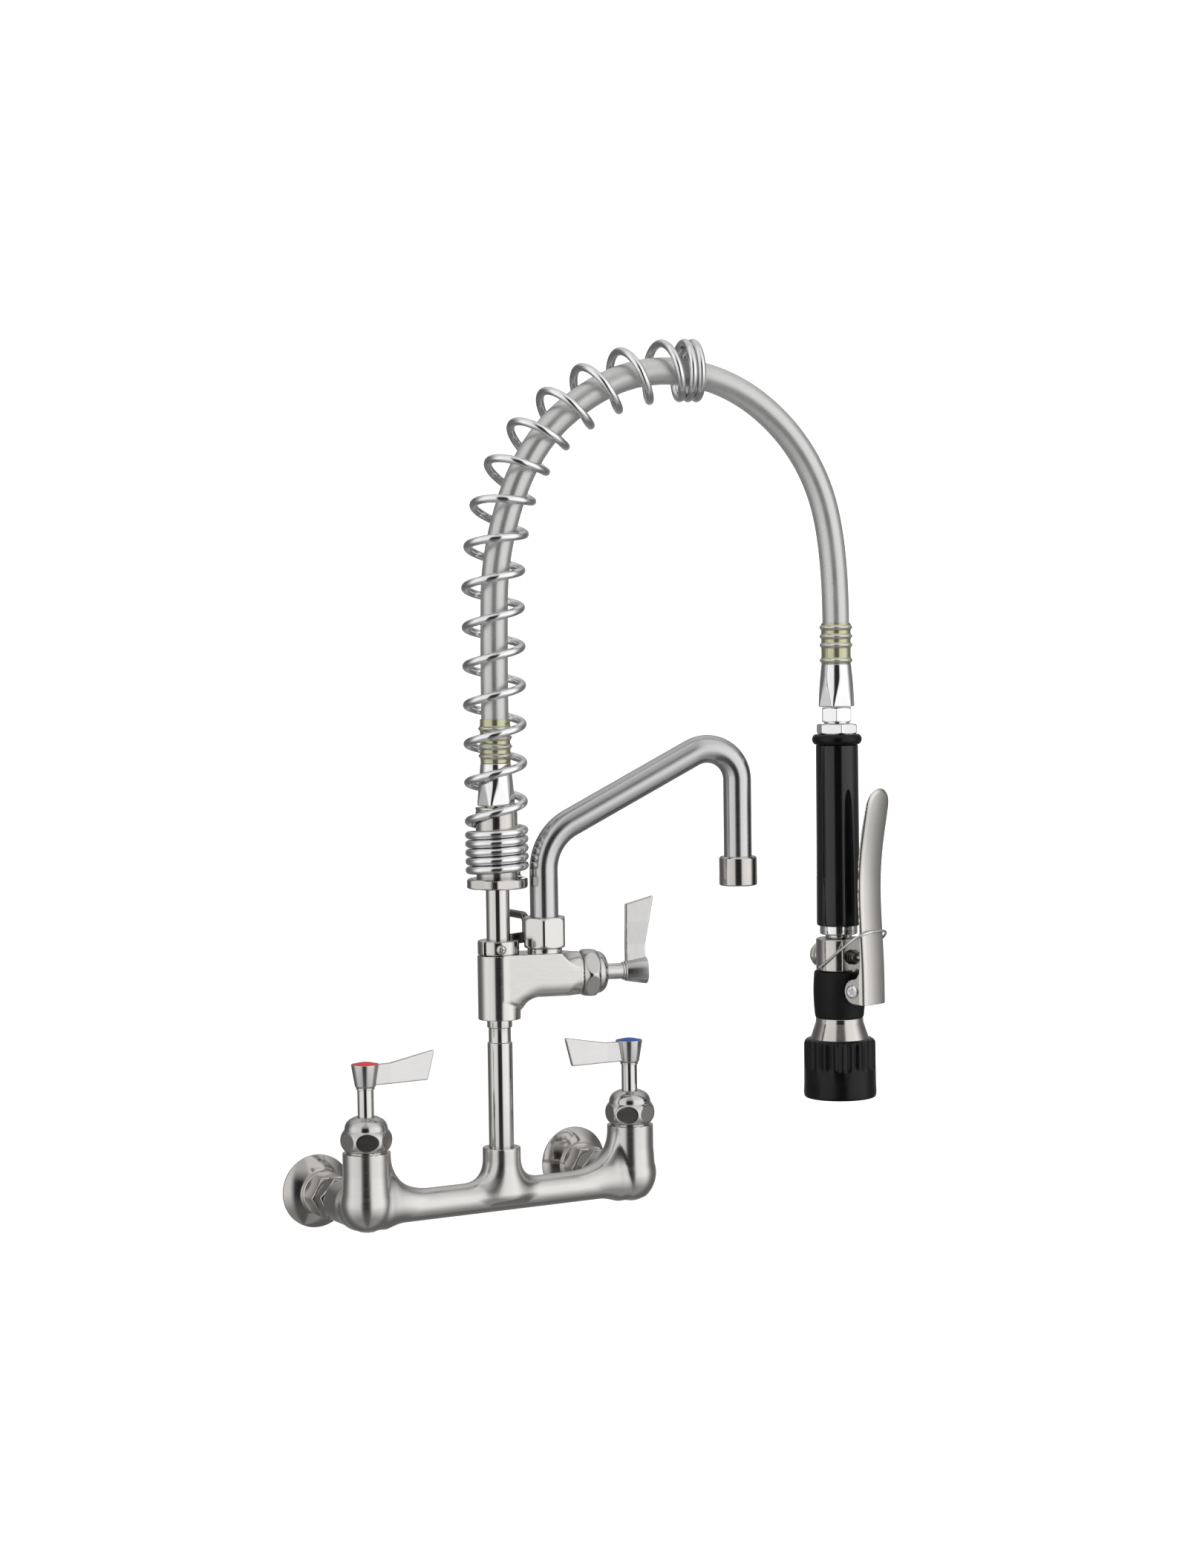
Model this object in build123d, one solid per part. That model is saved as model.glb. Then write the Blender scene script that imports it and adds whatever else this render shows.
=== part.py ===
from build123d import *
import math
import os

# Wall-mounted pre-rinse faucet with a pot-filler spout, in millimetres.
# Origin: on the wall, midway between the two inlets, at their height.
# +X runs to the cold side, +Y into the wall, +Z up.

os.makedirs("parts", exist_ok=True)

# ---------------------------------------------------------------- driving dimensions
INLET_SPACING = 203.2
WALL_TO_AXIS = 85.0
ARM_AZIMUTH = -15.0
LEVER_AZIMUTH = -74.0

CROSS_R = 10.75
COLUMN_R = 16.2
COLUMN_BULB_R = 17.8
COLUMN_TOP = 40.0
COLUMN_BOTTOM = -14.3
BOSS_R = 13.1
BOSS_TOP = 33.4
INLET_R = 14.6
INLET_FACE = 44.0
WATERWAY_R = 6.0
CARTRIDGE_R = 11.5
BONNET_SKIRT_R = 13.0
SKIRT_DEPTH = 7.0

FLANGE_R = 25.5
FLANGE_DEPTH = 9.0
TAIL_R = 10.4
TAIL_NECK_R = 10.2
TAIL_BORE_R = 7.5
TAIL_BEHIND_WALL = 25.0

STEM_R = 5.5
STEM_TIP_R = 4.0
RUNNING = 0.05
HUB_TOP_R = 9.4
HUB_BOTTOM_R = 7.0
INDEX_R = 8.7
HUB_HEIGHT = 15.5
BLADE_REACH = 52.0
BLADE_THICKNESS = 3.4
BONNET_AF = 31.6
BONNET_R = 17.5
DOME_R = 14.7

LOWER_RISER_R = 8.6
LOWER_RISER_BORE = 6.3
RISER_GROOVE_R = 7.65
UPPER_RISER_R = 8.1
UPPER_RISER_BORE = 6.2
RISER_TOP = 234.0

FILLER_BOTTOM = 121.6
FILLER_TOP = 165.7
FILLER_BARREL_R = 14.6
FILLER_AXIS_Z = 151.0
FILLER_ARM_TOP = 166.4
FILLER_ARM_HALF = 14.4
FILLER_ARM_END = 56.2

SPOUT_X = 32.5
SPOUT_R = 9.75
SPOUT_BORE = 8.4
SPOUT_FOOT = 168.0
SPOUT_REACH = 171.6
SPOUT_END = 213.0
SPOUT_RISE_DEG = 27.6
SPOUT_LOW_CORNER = 244.7
SPOUT_LOW_BEND = 36.0
SPOUT_HIGH_BEND = 22.0
SPOUT_NUT_AF = 28.0
SPOUT_NUT_TURN = 15.0
SPOUT_NUT_BOTTOM = 169.5
SPOUT_NUT_TOP = 191.0
NIPPLE_R = 12.0
NIPPLE_TOP = 178.0
OUTLET_R = 13.2
OUTLET_BOTTOM = 207.6
OUTLET_TOP = 227.9

CLAMP_R = 14.3
CLAMP_BOTTOM = 166.0
CLAMP_TOP = 176.0
CLAMP_SLOT_TURN = 22.0
CLAMP_SCREW_AZIMUTH = -109.0
HOOK_AZIMUTH = 23.0
HOOK_RADIUS = 30.0
HOOK_ROD_R = 2.75
HOOK_HEIGHT = 190.0
HOOK_FINGER = 43.0
HOOK_TIP = 9.0

SPRING_NUT_AF = 40.0
SPRING_NUT_R = 21.2
SPRING_NUT_BOTTOM = 211.5
SPRING_BASE = 218.4
ADAPTOR_R = 14.35
ADAPTOR_TOP = 267.0
SPIGOT_R = 8.0

WIRE_R = 2.85
COIL_R = 18.9
CLOSED_PITCH = 6.0
OPEN_PITCH = 26.4
CLOSED_TURNS_LOW = 5.3
CLOSED_TURNS_HIGH = 2.3
COIL_SEGMENTS = 12
SPRING_STRAIGHT_TOP = 408.0
SPRING_ARCS = [(300.0, 10.0), (120.0, 35.0), (136.0, 45.0)]
SPRING_END_RUN = 16.0

HOSE_R = 9.4
HOSE_BOTTOM = 327.0
HOSE_END = 389.0
# The hose's route in the arch's plane: distance from the riser's axis, height.
HOSE_ROUTE = [
    (0, HOSE_BOTTOM),
    (0, 380),
    (2, 444),
    (27, 513),
    (75, 554),
    (125, 567),
    (180, 552),
    (225, 508),
    (245, 448),
    (245, HOSE_END),
]

SPRAY_REACH = 245.0
GRIP_R = 15.0
GRIP_TUBE_R = 12.0
GRIP_BOTTOM = 176.8
GRIP_TOP = 304.0
RING_R = 17.5
RING_TOP = 311.4
GRIP_NUT_TOP = 318.5
SPRAY_HEX_BOTTOM = 319.8
SPRAY_HEX_TOP = 330.0
UPPER_NUT_TOP = 360.6
LOWER_NUT_BOTTOM = ADAPTOR_TOP + 1.0
LOWER_NUT_TOP = 297.0
VALVE_R = 16.0
VALVE_FLAT = 12.5
VALVE_TOP = 167.9
VALVE_BOTTOM = 144.7
BOOT_BOTTOM = 111.8
BOOT_BORE = 13.6
CONE_BOTTOM = 97.1
BUMPER_R = 25.6
BUMPER_BOTTOM = 55.5
BUMPER_WALL = 3.2
FACE_BOTTOM = 78.0
FLUTES = 24

PIVOT_X = 23.0
PIVOT_Z = 132.5
PIVOT_R = 2.9
PLUNGER_Z = 155.0
PLUNGER_R = 2.5
CAP_SEAT = 16.2
LEVER_HALF_WIDTH = 12.8
LEVER_GAUGE = 1.5
BAIL_X = -4.0
BAIL_Z = 147.5
BAIL_WIRE_R = 0.9
BAIL_HALF_WIDTH = 17.4
BAIL_LENGTH = 47.0
BAIL_CORNER = 9.0
BAIL_RISE_DEG = 34.9

HALF_SPACING = INLET_SPACING / 2
UPWARD = (Align.CENTER, Align.CENTER, Align.MIN)

# Frames: the arch's plane, the spray valve's own frame and the three valves' frames.
# A valve frame has its origin at the centre of its neck's face, +Z along the stem, +X along the lever's blade.
arm = Location((0, -WALL_TO_AXIS, 0), (0, 0, ARM_AZIMUTH))
arm_direction = Vector(1, 0, 0).rotate(Axis.Z, ARM_AZIMUTH)
spray = arm * Pos(SPRAY_REACH, 0, 0) * Rot(0, 0, LEVER_AZIMUTH - ARM_AZIMUTH)
filler_mouth = arm * Pos(FILLER_ARM_END, 0, FILLER_AXIS_Z)
valve_frames = {
    "hot": Pos(-HALF_SPACING, -WALL_TO_AXIS, COLUMN_TOP),
    "cold": Pos(HALF_SPACING, -WALL_TO_AXIS, COLUMN_TOP) * Rot(0, 0, 180),
    "filler": Plane(filler_mouth.position, x_dir=(0, 0, 1), z_dir=arm_direction).location,
}


# ---------------------------------------------------------------- helpers
def save(name, shape):
    export_step(shape, f"parts/{name}.step")


def rod(radius, low, high):
    """A cylinder on the Z axis between two heights."""
    return Pos(0, 0, low) * Cylinder(radius, high - low, align=UPWARD)


def pipe(radius, bore, low, high):
    return rod(radius, low, high) - rod(bore, low, high)


def turned(*points):
    """A solid of revolution about Z from a closed outline of (radius, height) points."""
    outline = Polyline(*[(radius, 0, height) for radius, height in points], close=True)
    return revolve(make_face(outline), Axis.Z)


def hexagon(across_flats, low, high):
    return Pos(0, 0, low) * extrude(RegularPolygon(across_flats / 2, 6, major_radius=False), high - low)


def hex_nut(across_flats, low, high, bevel=1.0):
    """A hexagon with its corners turned down at both faces."""
    corner = across_flats / 2 / math.cos(math.radians(30))
    inner = corner - 1.6 * bevel
    return hexagon(across_flats, low, high) & turned(
        (0, low), (inner, low), (corner, low + bevel), (corner, high - bevel), (inner, high), (0, high)
    )


def along_x(shape):
    """Turns a shape made about Z so that its +Z runs along +X."""
    return Rot(0, 90, 0) * shape


def along_y(shape):
    """Turns a shape made about Z so that its +Z runs along +Y."""
    return Rot(-90, 0, 0) * shape


def at_inlets(shape):
    """The same piece at both inlets, made about Y with the wall at y = 0."""
    return Pos(-HALF_SPACING, 0, 0) * shape + Pos(HALF_SPACING, 0, 0) * shape


# ---------------------------------------------------------------- mixer body and inlets
def column():
    outline = Polyline((0, 0, COLUMN_TOP), (COLUMN_R, 0, COLUMN_TOP), (COLUMN_R, 0, 22)) + Polyline(
        (COLUMN_R, 0, 22), (COLUMN_BULB_R, 0, 3)
    )
    bulb = ThreePointArc(
        (COLUMN_BULB_R, 0, 3), (0.72 * COLUMN_BULB_R, 0, 0.68 * COLUMN_BOTTOM), (0, 0, COLUMN_BOTTOM)
    )
    axis_line = Line((0, 0, COLUMN_BOTTOM), (0, 0, COLUMN_TOP))
    return revolve(make_face(outline + bulb + axis_line), Axis.Z)


def mixer_body():
    body = along_x(rod(CROSS_R, -HALF_SPACING, HALF_SPACING))
    flare = Cone(14.0, CROSS_R, 42.0, align=UPWARD)
    inlet = along_y(rod(INLET_R, 0, WALL_TO_AXIS - INLET_FACE))
    for side in (-1, 1):
        place = Pos(side * HALF_SPACING, 0, 0)
        body += place * column()
        body += place * inlet
        body += place * (along_x(flare) if side < 0 else Rot(0, -90, 0) * flare)
    body += turned((0, 0), (17, 0), (17, 8), (BOSS_R, 20), (BOSS_R, BOSS_TOP), (0, BOSS_TOP))
    body -= along_x(rod(WATERWAY_R, -HALF_SPACING, HALF_SPACING))
    body -= rod(LOWER_RISER_R, 13, BOSS_TOP)
    body -= rod(WATERWAY_R, 0, 13)
    thread = along_y(rod(9.5, WALL_TO_AXIS - INLET_FACE - 16, WALL_TO_AXIS - INLET_FACE))
    for side in (-1, 1):
        place = Pos(side * HALF_SPACING, 0, 0)
        body -= place * rod(BONNET_SKIRT_R, COLUMN_TOP - SKIRT_DEPTH, COLUMN_TOP)
        body -= place * rod(CARTRIDGE_R, 14, COLUMN_TOP)
        body -= place * rod(WATERWAY_R, 0, 14)
        body -= place * thread
        body -= place * along_y(rod(WATERWAY_R, 0, WALL_TO_AXIS - INLET_FACE))
    return Pos(0, -WALL_TO_AXIS, 0) * body


def inlet_shank():
    """Screws into the body; its hexagon takes the wrench and its free end takes the union nut."""
    shank = rod(9.5, -58, -44) + hex_nut(28, -44, -33, 1.4) + rod(11, -33, -30.5) + rod(10.2, -30.5, -20)
    return along_y(shank - rod(TAIL_BORE_R, -58, -20))


def union_nut():
    nut = hex_nut(27, -28, -13, 1.2)
    nut -= rod(10.2, -28, -18.5)
    nut -= rod(TAIL_NECK_R, -18.5, -13)
    nut -= rod(11.8, -20, -16)
    return along_y(nut)


def union_washer():
    return along_y(pipe(10.1, TAIL_BORE_R, -20, -18.5))


def tailpiece():
    """The supply tail: its head is held by the union nut and its thread stands out behind the wall."""
    tail = rod(11.8, -18.5, -16) + rod(TAIL_NECK_R, -16, 0) + rod(TAIL_R, 0, TAIL_BEHIND_WALL)
    return along_y(tail - rod(TAIL_BORE_R, -18.5, TAIL_BEHIND_WALL))


def wall_flange():
    bore = TAIL_R + 0.4
    return along_y(
        turned(
            (bore, -13), (15.2, -13), (15.2, -FLANGE_DEPTH), (FLANGE_R - 0.6, -1.8),
            (FLANGE_R, -1.2), (FLANGE_R, 0), (FLANGE_R - 2.2, 0), (14.0, -7.4), (bore, -7.4)
        )
    )


# ---------------------------------------------------------------- valves, made in a valve frame
def bonnet(height, flats_turn):
    """Domed hexagon bonnet: a turned form whose six flats read as ovals, with a threaded skirt below."""
    band_mid = 0.35 * height
    band_top = 0.64 * height
    side = Line((0, 0, 0.9), (14.6, 0, 0.9))
    side += ThreePointArc((14.6, 0, 0.9), (BONNET_R, 0, band_mid), (DOME_R, 0, band_top))
    side += ThreePointArc((DOME_R, 0, band_top), (13.0, 0, 0.86 * height), (8.4, 0, height))
    side += Line((8.4, 0, height), (0, 0, height))
    side += Line((0, 0, height), (0, 0, 0.9))
    form = revolve(make_face(side), Axis.Z) & (Rot(0, 0, flats_turn) * hexagon(BONNET_AF, 0, height))
    form += rod(13.6, 0, 0.9)
    form += rod(BONNET_SKIRT_R, -SKIRT_DEPTH, 0)
    return form - rod(STEM_R + RUNNING, -SKIRT_DEPTH, height)


def cartridge(depth):
    """Ceramic cartridge: its housing under the bonnet, with two ports and a socket for the stem's tip."""
    top = -SKIRT_DEPTH
    housing = rod(CARTRIDGE_R, top - depth, top)
    housing -= rod(STEM_TIP_R + RUNNING, top - 0.5 * depth, top)
    for side in (-1, 1):
        housing -= Pos(side * 5.5, 0, 0) * rod(2.4, top - depth, top - 0.6 * depth)
    return housing


def stem(hub_height, depth):
    """Runs from the cartridge up through the bonnet into the lever's hub."""
    foot = -SKIRT_DEPTH - 0.5 * depth + 0.3
    shaft = rod(STEM_TIP_R, foot, -SKIRT_DEPTH + 1) + rod(STEM_R, -SKIRT_DEPTH + 0.3, hub_height)
    shaft += rod(STEM_TIP_R, hub_height, hub_height + 7)
    return shaft - rod(1.6, hub_height, hub_height + 7)


def lever(hub_height):
    """Inverted-cone hub with one upright blade that rises and sweeps gently towards its slanted tip."""
    top = hub_height + HUB_HEIGHT
    hub = turned(
        (0, hub_height), (HUB_BOTTOM_R, hub_height), (HUB_TOP_R, top - 0.5), (HUB_TOP_R - 0.3, top), (0, top)
    )
    side_view = make_face(
        Polyline(
            (4, 0, hub_height + 0.8), (BLADE_REACH - 5.5, 0, hub_height + 0.8), (BLADE_REACH, 0, top + 5.7),
            (30, 0, top + 1.6), (18, 0, top - 0.5), (4, 0, top - 0.8), close=True
        )
    )
    half = BLADE_THICKNESS / 2
    near = [(4, -half), (18, -half - 0.6), (34, -half + 0.7), (BLADE_REACH + 1, -half + 1.4)]
    far = [(x, y + BLADE_THICKNESS) for x, y in reversed(near)]
    plan = make_face(Spline(*near) + Line(near[-1], far[0]) + Spline(*far) + Line(far[-1], near[0]))
    blade = extrude(side_view, BLADE_THICKNESS * 2, dir=(0, 1, 0), both=True)
    blade &= Pos(0, 0, hub_height - 5) * extrude(plan, HUB_HEIGHT + 20)
    handle = hub + blade
    handle -= rod(STEM_TIP_R, hub_height, hub_height + 7)
    handle -= rod(1.75, hub_height + 7, top)
    return handle - rod(INDEX_R, top - 5.5, top)


def lever_screw(hub_height):
    top = hub_height + HUB_HEIGHT
    screw = rod(1.55, hub_height + 2, top - 5.5) + rod(3.2, top - 5.5, top - 3.2)
    return screw - Pos(0, 0, top - 4.4) * Box(4.4, 0.8, 1.2, align=UPWARD)


def index_button(hub_height):
    """Coloured disc, gently domed, pressed into the hub's recess over the screw."""
    top = hub_height + HUB_HEIGHT
    crown = 1.8
    dome_radius = (INDEX_R**2 + crown**2) / (2 * crown)
    dome = Pos(0, 0, top + 1.5 - dome_radius) * Sphere(dome_radius)
    return rod(INDEX_R, top - 3, top + 2) & dome


# name: bonnet height, height of the hub's foot, cartridge depth, turn of the bonnet's flats
VALVES = {"hot": (23.5, 43.5, 17.0, 40.0), "cold": (23.5, 43.5, 17.0, 23.0), "filler": (19.5, 32.4, 10.0, 30.0)}


# ---------------------------------------------------------------- risers and pot filler
def lower_riser():
    pipe_body = rod(LOWER_RISER_R, 14, 133)
    pipe_body -= rod(LOWER_RISER_R + 1, 105.5, 116.2) - rod(RISER_GROOVE_R, 105.5, 116.2)
    return Pos(0, -WALL_TO_AXIS, 0) * (pipe_body - rod(LOWER_RISER_BORE, 14, 133))


def pot_filler_body():
    barrel = rod(FILLER_BARREL_R, FILLER_BOTTOM, FILLER_TOP)
    half = FILLER_ARM_HALF
    low = FILLER_AXIS_Z - 1
    trough = Polyline((0, half, low), (0, half, FILLER_ARM_TOP), (0, -half, FILLER_ARM_TOP), (0, -half, low))
    trough += ThreePointArc((0, -half, low), (0, 0, low - half), (0, half, low))
    arm_bar = extrude(make_face(trough), FILLER_ARM_END, dir=(1, 0, 0))
    shoulder = Polyline((15.1, 0, FILLER_ARM_END), (0, 0, FILLER_ARM_END), (0, 0, 0), (23, 0, 0), (22.5, 0, 40))
    shoulder += ThreePointArc((22.5, 0, 40), (17.0, 0, 46.5), (15.1, 0, FILLER_ARM_END))
    arm_bar &= Pos(0, 0, FILLER_AXIS_Z) * along_x(revolve(make_face(shoulder), Axis.Z))
    web = Polyline((26, 0, 136), (26, 0, 150), (0, 0, 150), (0, 0, 124), (14, 0, 124))
    web += ThreePointArc((14, 0, 124), (17.6, 0, 132.4), (26, 0, 136))
    body = barrel + arm_bar
    body += extrude(make_face(web), 11, dir=(0, 1, 0), both=True)
    body += Pos(SPOUT_X, 0, 0) * rod(13.2, 150, 166.7)
    body += Pos(SPOUT_X, 0, 0) * rod(NIPPLE_R, 160, NIPPLE_TOP)
    body -= Pos(SPOUT_X, 0, 0) * rod(SPOUT_R + 0.08, SPOUT_FOOT - 1, NIPPLE_TOP)
    body -= Pos(SPOUT_X, 0, 0) * rod(5, FILLER_AXIS_Z, SPOUT_FOOT)
    body -= rod(LOWER_RISER_R, FILLER_BOTTOM, 133)
    body -= rod(LOWER_RISER_BORE, 132, 153)
    body -= rod(UPPER_RISER_R, 152, FILLER_TOP)
    body -= rod(18, FILLER_TOP, FILLER_TOP + 2)
    valve_bore = rod(WATERWAY_R, 0, FILLER_ARM_END)
    valve_bore += rod(CARTRIDGE_R, FILLER_ARM_END - SKIRT_DEPTH - 10, FILLER_ARM_END)
    valve_bore += rod(BONNET_SKIRT_R, FILLER_ARM_END - SKIRT_DEPTH, FILLER_ARM_END)
    return arm * (body - Pos(0, 0, FILLER_AXIS_Z) * along_x(valve_bore))


def spout_path():
    rise = math.radians(SPOUT_RISE_DEG)
    high_corner = SPOUT_LOW_CORNER + (SPOUT_REACH - SPOUT_X) * math.tan(rise)
    points = [
        (SPOUT_X, 0, SPOUT_FOOT),
        (SPOUT_X, 0, SPOUT_LOW_CORNER),
        (SPOUT_REACH, 0, high_corner),
        (SPOUT_REACH, 0, SPOUT_END),
    ]
    return FilletPolyline(*points, radius=[SPOUT_LOW_BEND, SPOUT_HIGH_BEND])


def spout_tube():
    path = spout_path()
    ring = Plane(path @ 0, z_dir=path % 0) * (Circle(SPOUT_R) - Circle(SPOUT_BORE))
    return arm * sweep(ring, path=path)


def spout_nut():
    nut = hex_nut(SPOUT_NUT_AF, SPOUT_NUT_BOTTOM, SPOUT_NUT_TOP, 1.8)
    nut -= rod(NIPPLE_R, SPOUT_NUT_BOTTOM, NIPPLE_TOP + 5)
    nut -= rod(SPOUT_R + 0.08, NIPPLE_TOP, SPOUT_NUT_TOP)
    return arm * Pos(SPOUT_X, 0, 0) * Rot(0, 0, SPOUT_NUT_TURN) * nut


def spout_seals():
    """Two packing rings squeezed between the nipple and the nut's shoulder."""
    low = pipe(NIPPLE_R, SPOUT_R + 0.08, NIPPLE_TOP, NIPPLE_TOP + 2.4)
    high = pipe(NIPPLE_R, SPOUT_R + 0.08, NIPPLE_TOP + 2.6, NIPPLE_TOP + 5)
    return arm * Pos(SPOUT_X, 0, 0) * (low + high)


def spout_outlet():
    shell = turned(
        (SPOUT_R, OUTLET_BOTTOM), (OUTLET_R - 0.6, OUTLET_BOTTOM), (OUTLET_R, OUTLET_BOTTOM + 0.6),
        (OUTLET_R, OUTLET_TOP - 1.2), (OUTLET_R - 1.2, OUTLET_TOP), (SPOUT_R, OUTLET_TOP)
    )
    return arm * Pos(SPOUT_REACH, 0, 0) * shell


def flow_straightener():
    disc = rod(SPOUT_R, OUTLET_BOTTOM + 1.4, OUTLET_BOTTOM + 4.4)
    for ring_radius, count in ((0, 1), (3.4, 6), (6.8, 12)):
        for step in range(count):
            hole = Rot(0, 0, 360 * step / count) * Pos(ring_radius, 0, 0)
            disc -= hole * rod(1.15, OUTLET_BOTTOM + 1.4, OUTLET_BOTTOM + 4.4)
    return arm * Pos(SPOUT_REACH, 0, 0) * disc


def upper_riser():
    return arm * pipe(UPPER_RISER_R, UPPER_RISER_BORE, 152, RISER_TOP)


def clamp_collar():
    """Split collar on the upper riser; the slot is at the back of the hot side and the screw faces out."""
    collar = turned(
        (UPPER_RISER_R, CLAMP_BOTTOM), (CLAMP_R - 0.8, CLAMP_BOTTOM), (CLAMP_R, CLAMP_BOTTOM + 0.8),
        (CLAMP_R, CLAMP_TOP - 0.8), (CLAMP_R - 0.8, CLAMP_TOP), (UPPER_RISER_R, CLAMP_TOP)
    )
    slot = Pos(-CLAMP_R, 0, CLAMP_BOTTOM) * Box(CLAMP_R * 2, 1.8, 10, align=UPWARD)
    collar -= Rot(0, 0, CLAMP_SLOT_TURN) * slot
    bore = Pos(0, 0, CLAMP_BOTTOM + 4.4) * along_x(rod(2.0, UPPER_RISER_R, CLAMP_R + 1))
    collar -= Rot(0, 0, CLAMP_SCREW_AZIMUTH) * bore
    return Pos(0, -WALL_TO_AXIS, 0) * collar


def clamp_screw():
    screw = rod(2.0, UPPER_RISER_R + 0.2, CLAMP_R) + rod(3.3, CLAMP_R, CLAMP_R + 2.2)
    for turn in (0, 90):
        screw -= Rot(0, 0, turn) * Pos(0, 0, CLAMP_R + 1.2) * Box(4.2, 0.8, 1.2, align=UPWARD)
    placed = Rot(0, 0, CLAMP_SCREW_AZIMUTH) * Pos(0, 0, CLAMP_BOTTOM + 4.4) * along_x(screw)
    return Pos(0, -WALL_TO_AXIS, 0) * placed


def spray_hook():
    """A flat arm out of the collar carries a rod that rises and ends in a finger with a turned-up tip."""
    turn = math.radians(HOOK_AZIMUTH)
    foot = Vector(HOOK_RADIUS * math.cos(turn), HOOK_RADIUS * math.sin(turn), 0)
    plate = Pos(CLAMP_R - 0.3, 0, 171.5) * Box(
        HOOK_RADIUS - CLAMP_R, 3.0, 7.5, align=(Align.MIN, Align.CENTER, Align.MIN)
    )
    points = [
        foot + Vector(0, 0, 172.5),
        foot + Vector(0, 0, HOOK_HEIGHT),
        foot + Vector(0, HOOK_FINGER, HOOK_HEIGHT),
        foot + Vector(0, HOOK_FINGER, HOOK_HEIGHT + HOOK_TIP),
    ]
    path = FilletPolyline(*points, radius=5)
    wire = sweep(Plane(path @ 0, z_dir=path % 0) * Circle(HOOK_ROD_R), path=path)
    hook = (Rot(0, 0, HOOK_AZIMUTH) * plate) - rod(CLAMP_R, 165, 185) + wire
    return Pos(0, -WALL_TO_AXIS, 0) * hook


# ---------------------------------------------------------------- arch: nut, adaptor, spring and hose
def spring_nut():
    nut = hexagon(SPRING_NUT_AF, SPRING_NUT_BOTTOM, SPRING_BASE)
    nut &= turned(
        (0, SPRING_NUT_BOTTOM), (19.6, SPRING_NUT_BOTTOM), (SPRING_NUT_R, SPRING_NUT_BOTTOM + 1.6),
        (SPRING_NUT_R, SPRING_BASE), (0, SPRING_BASE)
    )
    return arm * (nut - rod(11, SPRING_NUT_BOTTOM, SPRING_BASE))


def hose_adaptor():
    body = rod(11, SPRING_NUT_BOTTOM, SPRING_BASE) + rod(ADAPTOR_R, SPRING_BASE, ADAPTOR_TOP)
    body += rod(SPIGOT_R, ADAPTOR_TOP, ADAPTOR_TOP + 13)
    body -= rod(UPPER_RISER_R + RUNNING, SPRING_NUT_BOTTOM, RISER_TOP + 1)
    return arm * (body - rod(5.5, RISER_TOP, ADAPTOR_TOP + 13))


def spring_centreline():
    """Straight up, round three arcs and a short level run; returns its length and a point-and-frame function."""
    straight = SPRING_STRAIGHT_TOP - SPRING_BASE
    pieces = [(straight, None)]
    pieces += [(radius * math.radians(turn), radius) for radius, turn in SPRING_ARCS]
    pieces += [(SPRING_END_RUN, None)]

    def at(distance):
        x, z, lean = 0.0, SPRING_BASE, 0.0
        left = distance
        for length, radius in pieces:
            step = min(left, length)
            if radius is None:
                x += step * math.sin(lean)
                z += step * math.cos(lean)
            else:
                turned_to = lean + step / radius
                x += radius * (math.cos(lean) - math.cos(turned_to))
                z += radius * (math.sin(turned_to) - math.sin(lean))
                lean = turned_to
            left -= step
        return x, z, lean

    return sum(length for length, _ in pieces), at


def overhead_spring():
    """Right-handed wire: closed coils on the nut, open coils over the arch, closed coils at the end."""
    total, at = spring_centreline()
    low_run = CLOSED_TURNS_LOW * CLOSED_PITCH
    high_run = CLOSED_TURNS_HIGH * CLOSED_PITCH
    open_run = total - low_run - high_run - 2 * WIRE_R
    open_turns = open_run / OPEN_PITCH
    turns = CLOSED_TURNS_LOW + open_turns + CLOSED_TURNS_HIGH
    count = round(turns * COIL_SEGMENTS)
    points = []
    for index in range(count + 1):
        turn = turns * index / count
        if turn < CLOSED_TURNS_LOW:
            distance = turn * CLOSED_PITCH
        elif turn < CLOSED_TURNS_LOW + open_turns:
            distance = low_run + (turn - CLOSED_TURNS_LOW) * OPEN_PITCH
        else:
            distance = low_run + open_run + (turn - CLOSED_TURNS_LOW - open_turns) * CLOSED_PITCH
        x, z, lean = at(distance + WIRE_R)
        angle = 2 * math.pi * turn
        out = COIL_R * math.cos(angle)
        across = COIL_R * math.sin(angle)
        points.append((x + out * math.cos(lean), across, z - out * math.sin(lean)))
    path = Polyline(*points)
    wire = sweep(Plane(path @ 0, z_dir=path % 0) * Circle(WIRE_R), path=path, transition=Transition.RIGHT)
    print("spring turns", round(turns, 2), "segments", count, "wire length", round(path.length, 1))
    return arm * wire


def hose():
    points = [Vector(x, 0, z) for x, z in HOSE_ROUTE]
    radii = []
    for before, here, after in zip(points, points[1:], points[2:]):
        turn = math.radians((here - before).get_angle(after - here))
        shorter = min((here - before).length, (after - here).length)
        radii.append(0.45 * shorter / math.tan(turn / 2))
    path = FilletPolyline(*points, radius=radii)
    tube = sweep(Plane(path @ 0, z_dir=path % 0) * Circle(HOSE_R), path=path)
    print("hose radii", [round(radius) for radius in radii], "length", round(path.length, 1))
    print("hose volume ratio", round(tube.volume / (math.pi * HOSE_R**2 * path.length), 4))
    return arm * tube


def ribbed_ferrule(low, high, ribs):
    """Crimped sleeve: a barrel with raised ribs at the given heights."""
    radius = 10.5
    sleeve = rod(radius, low, high)
    for height in ribs:
        sleeve += Pos(0, 0, height) * Torus(radius - 0.9, 1.6)
    return sleeve


def lower_ferrule():
    ribs = [LOWER_NUT_TOP + 5 + 6.2 * step for step in range(4)]
    sleeve = ribbed_ferrule(LOWER_NUT_TOP, HOSE_BOTTOM, ribs) + rod(SPIGOT_R, LOWER_NUT_TOP - 16, LOWER_NUT_TOP)
    return arm * (sleeve - rod(5.5, LOWER_NUT_TOP - 16, HOSE_BOTTOM))


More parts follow.
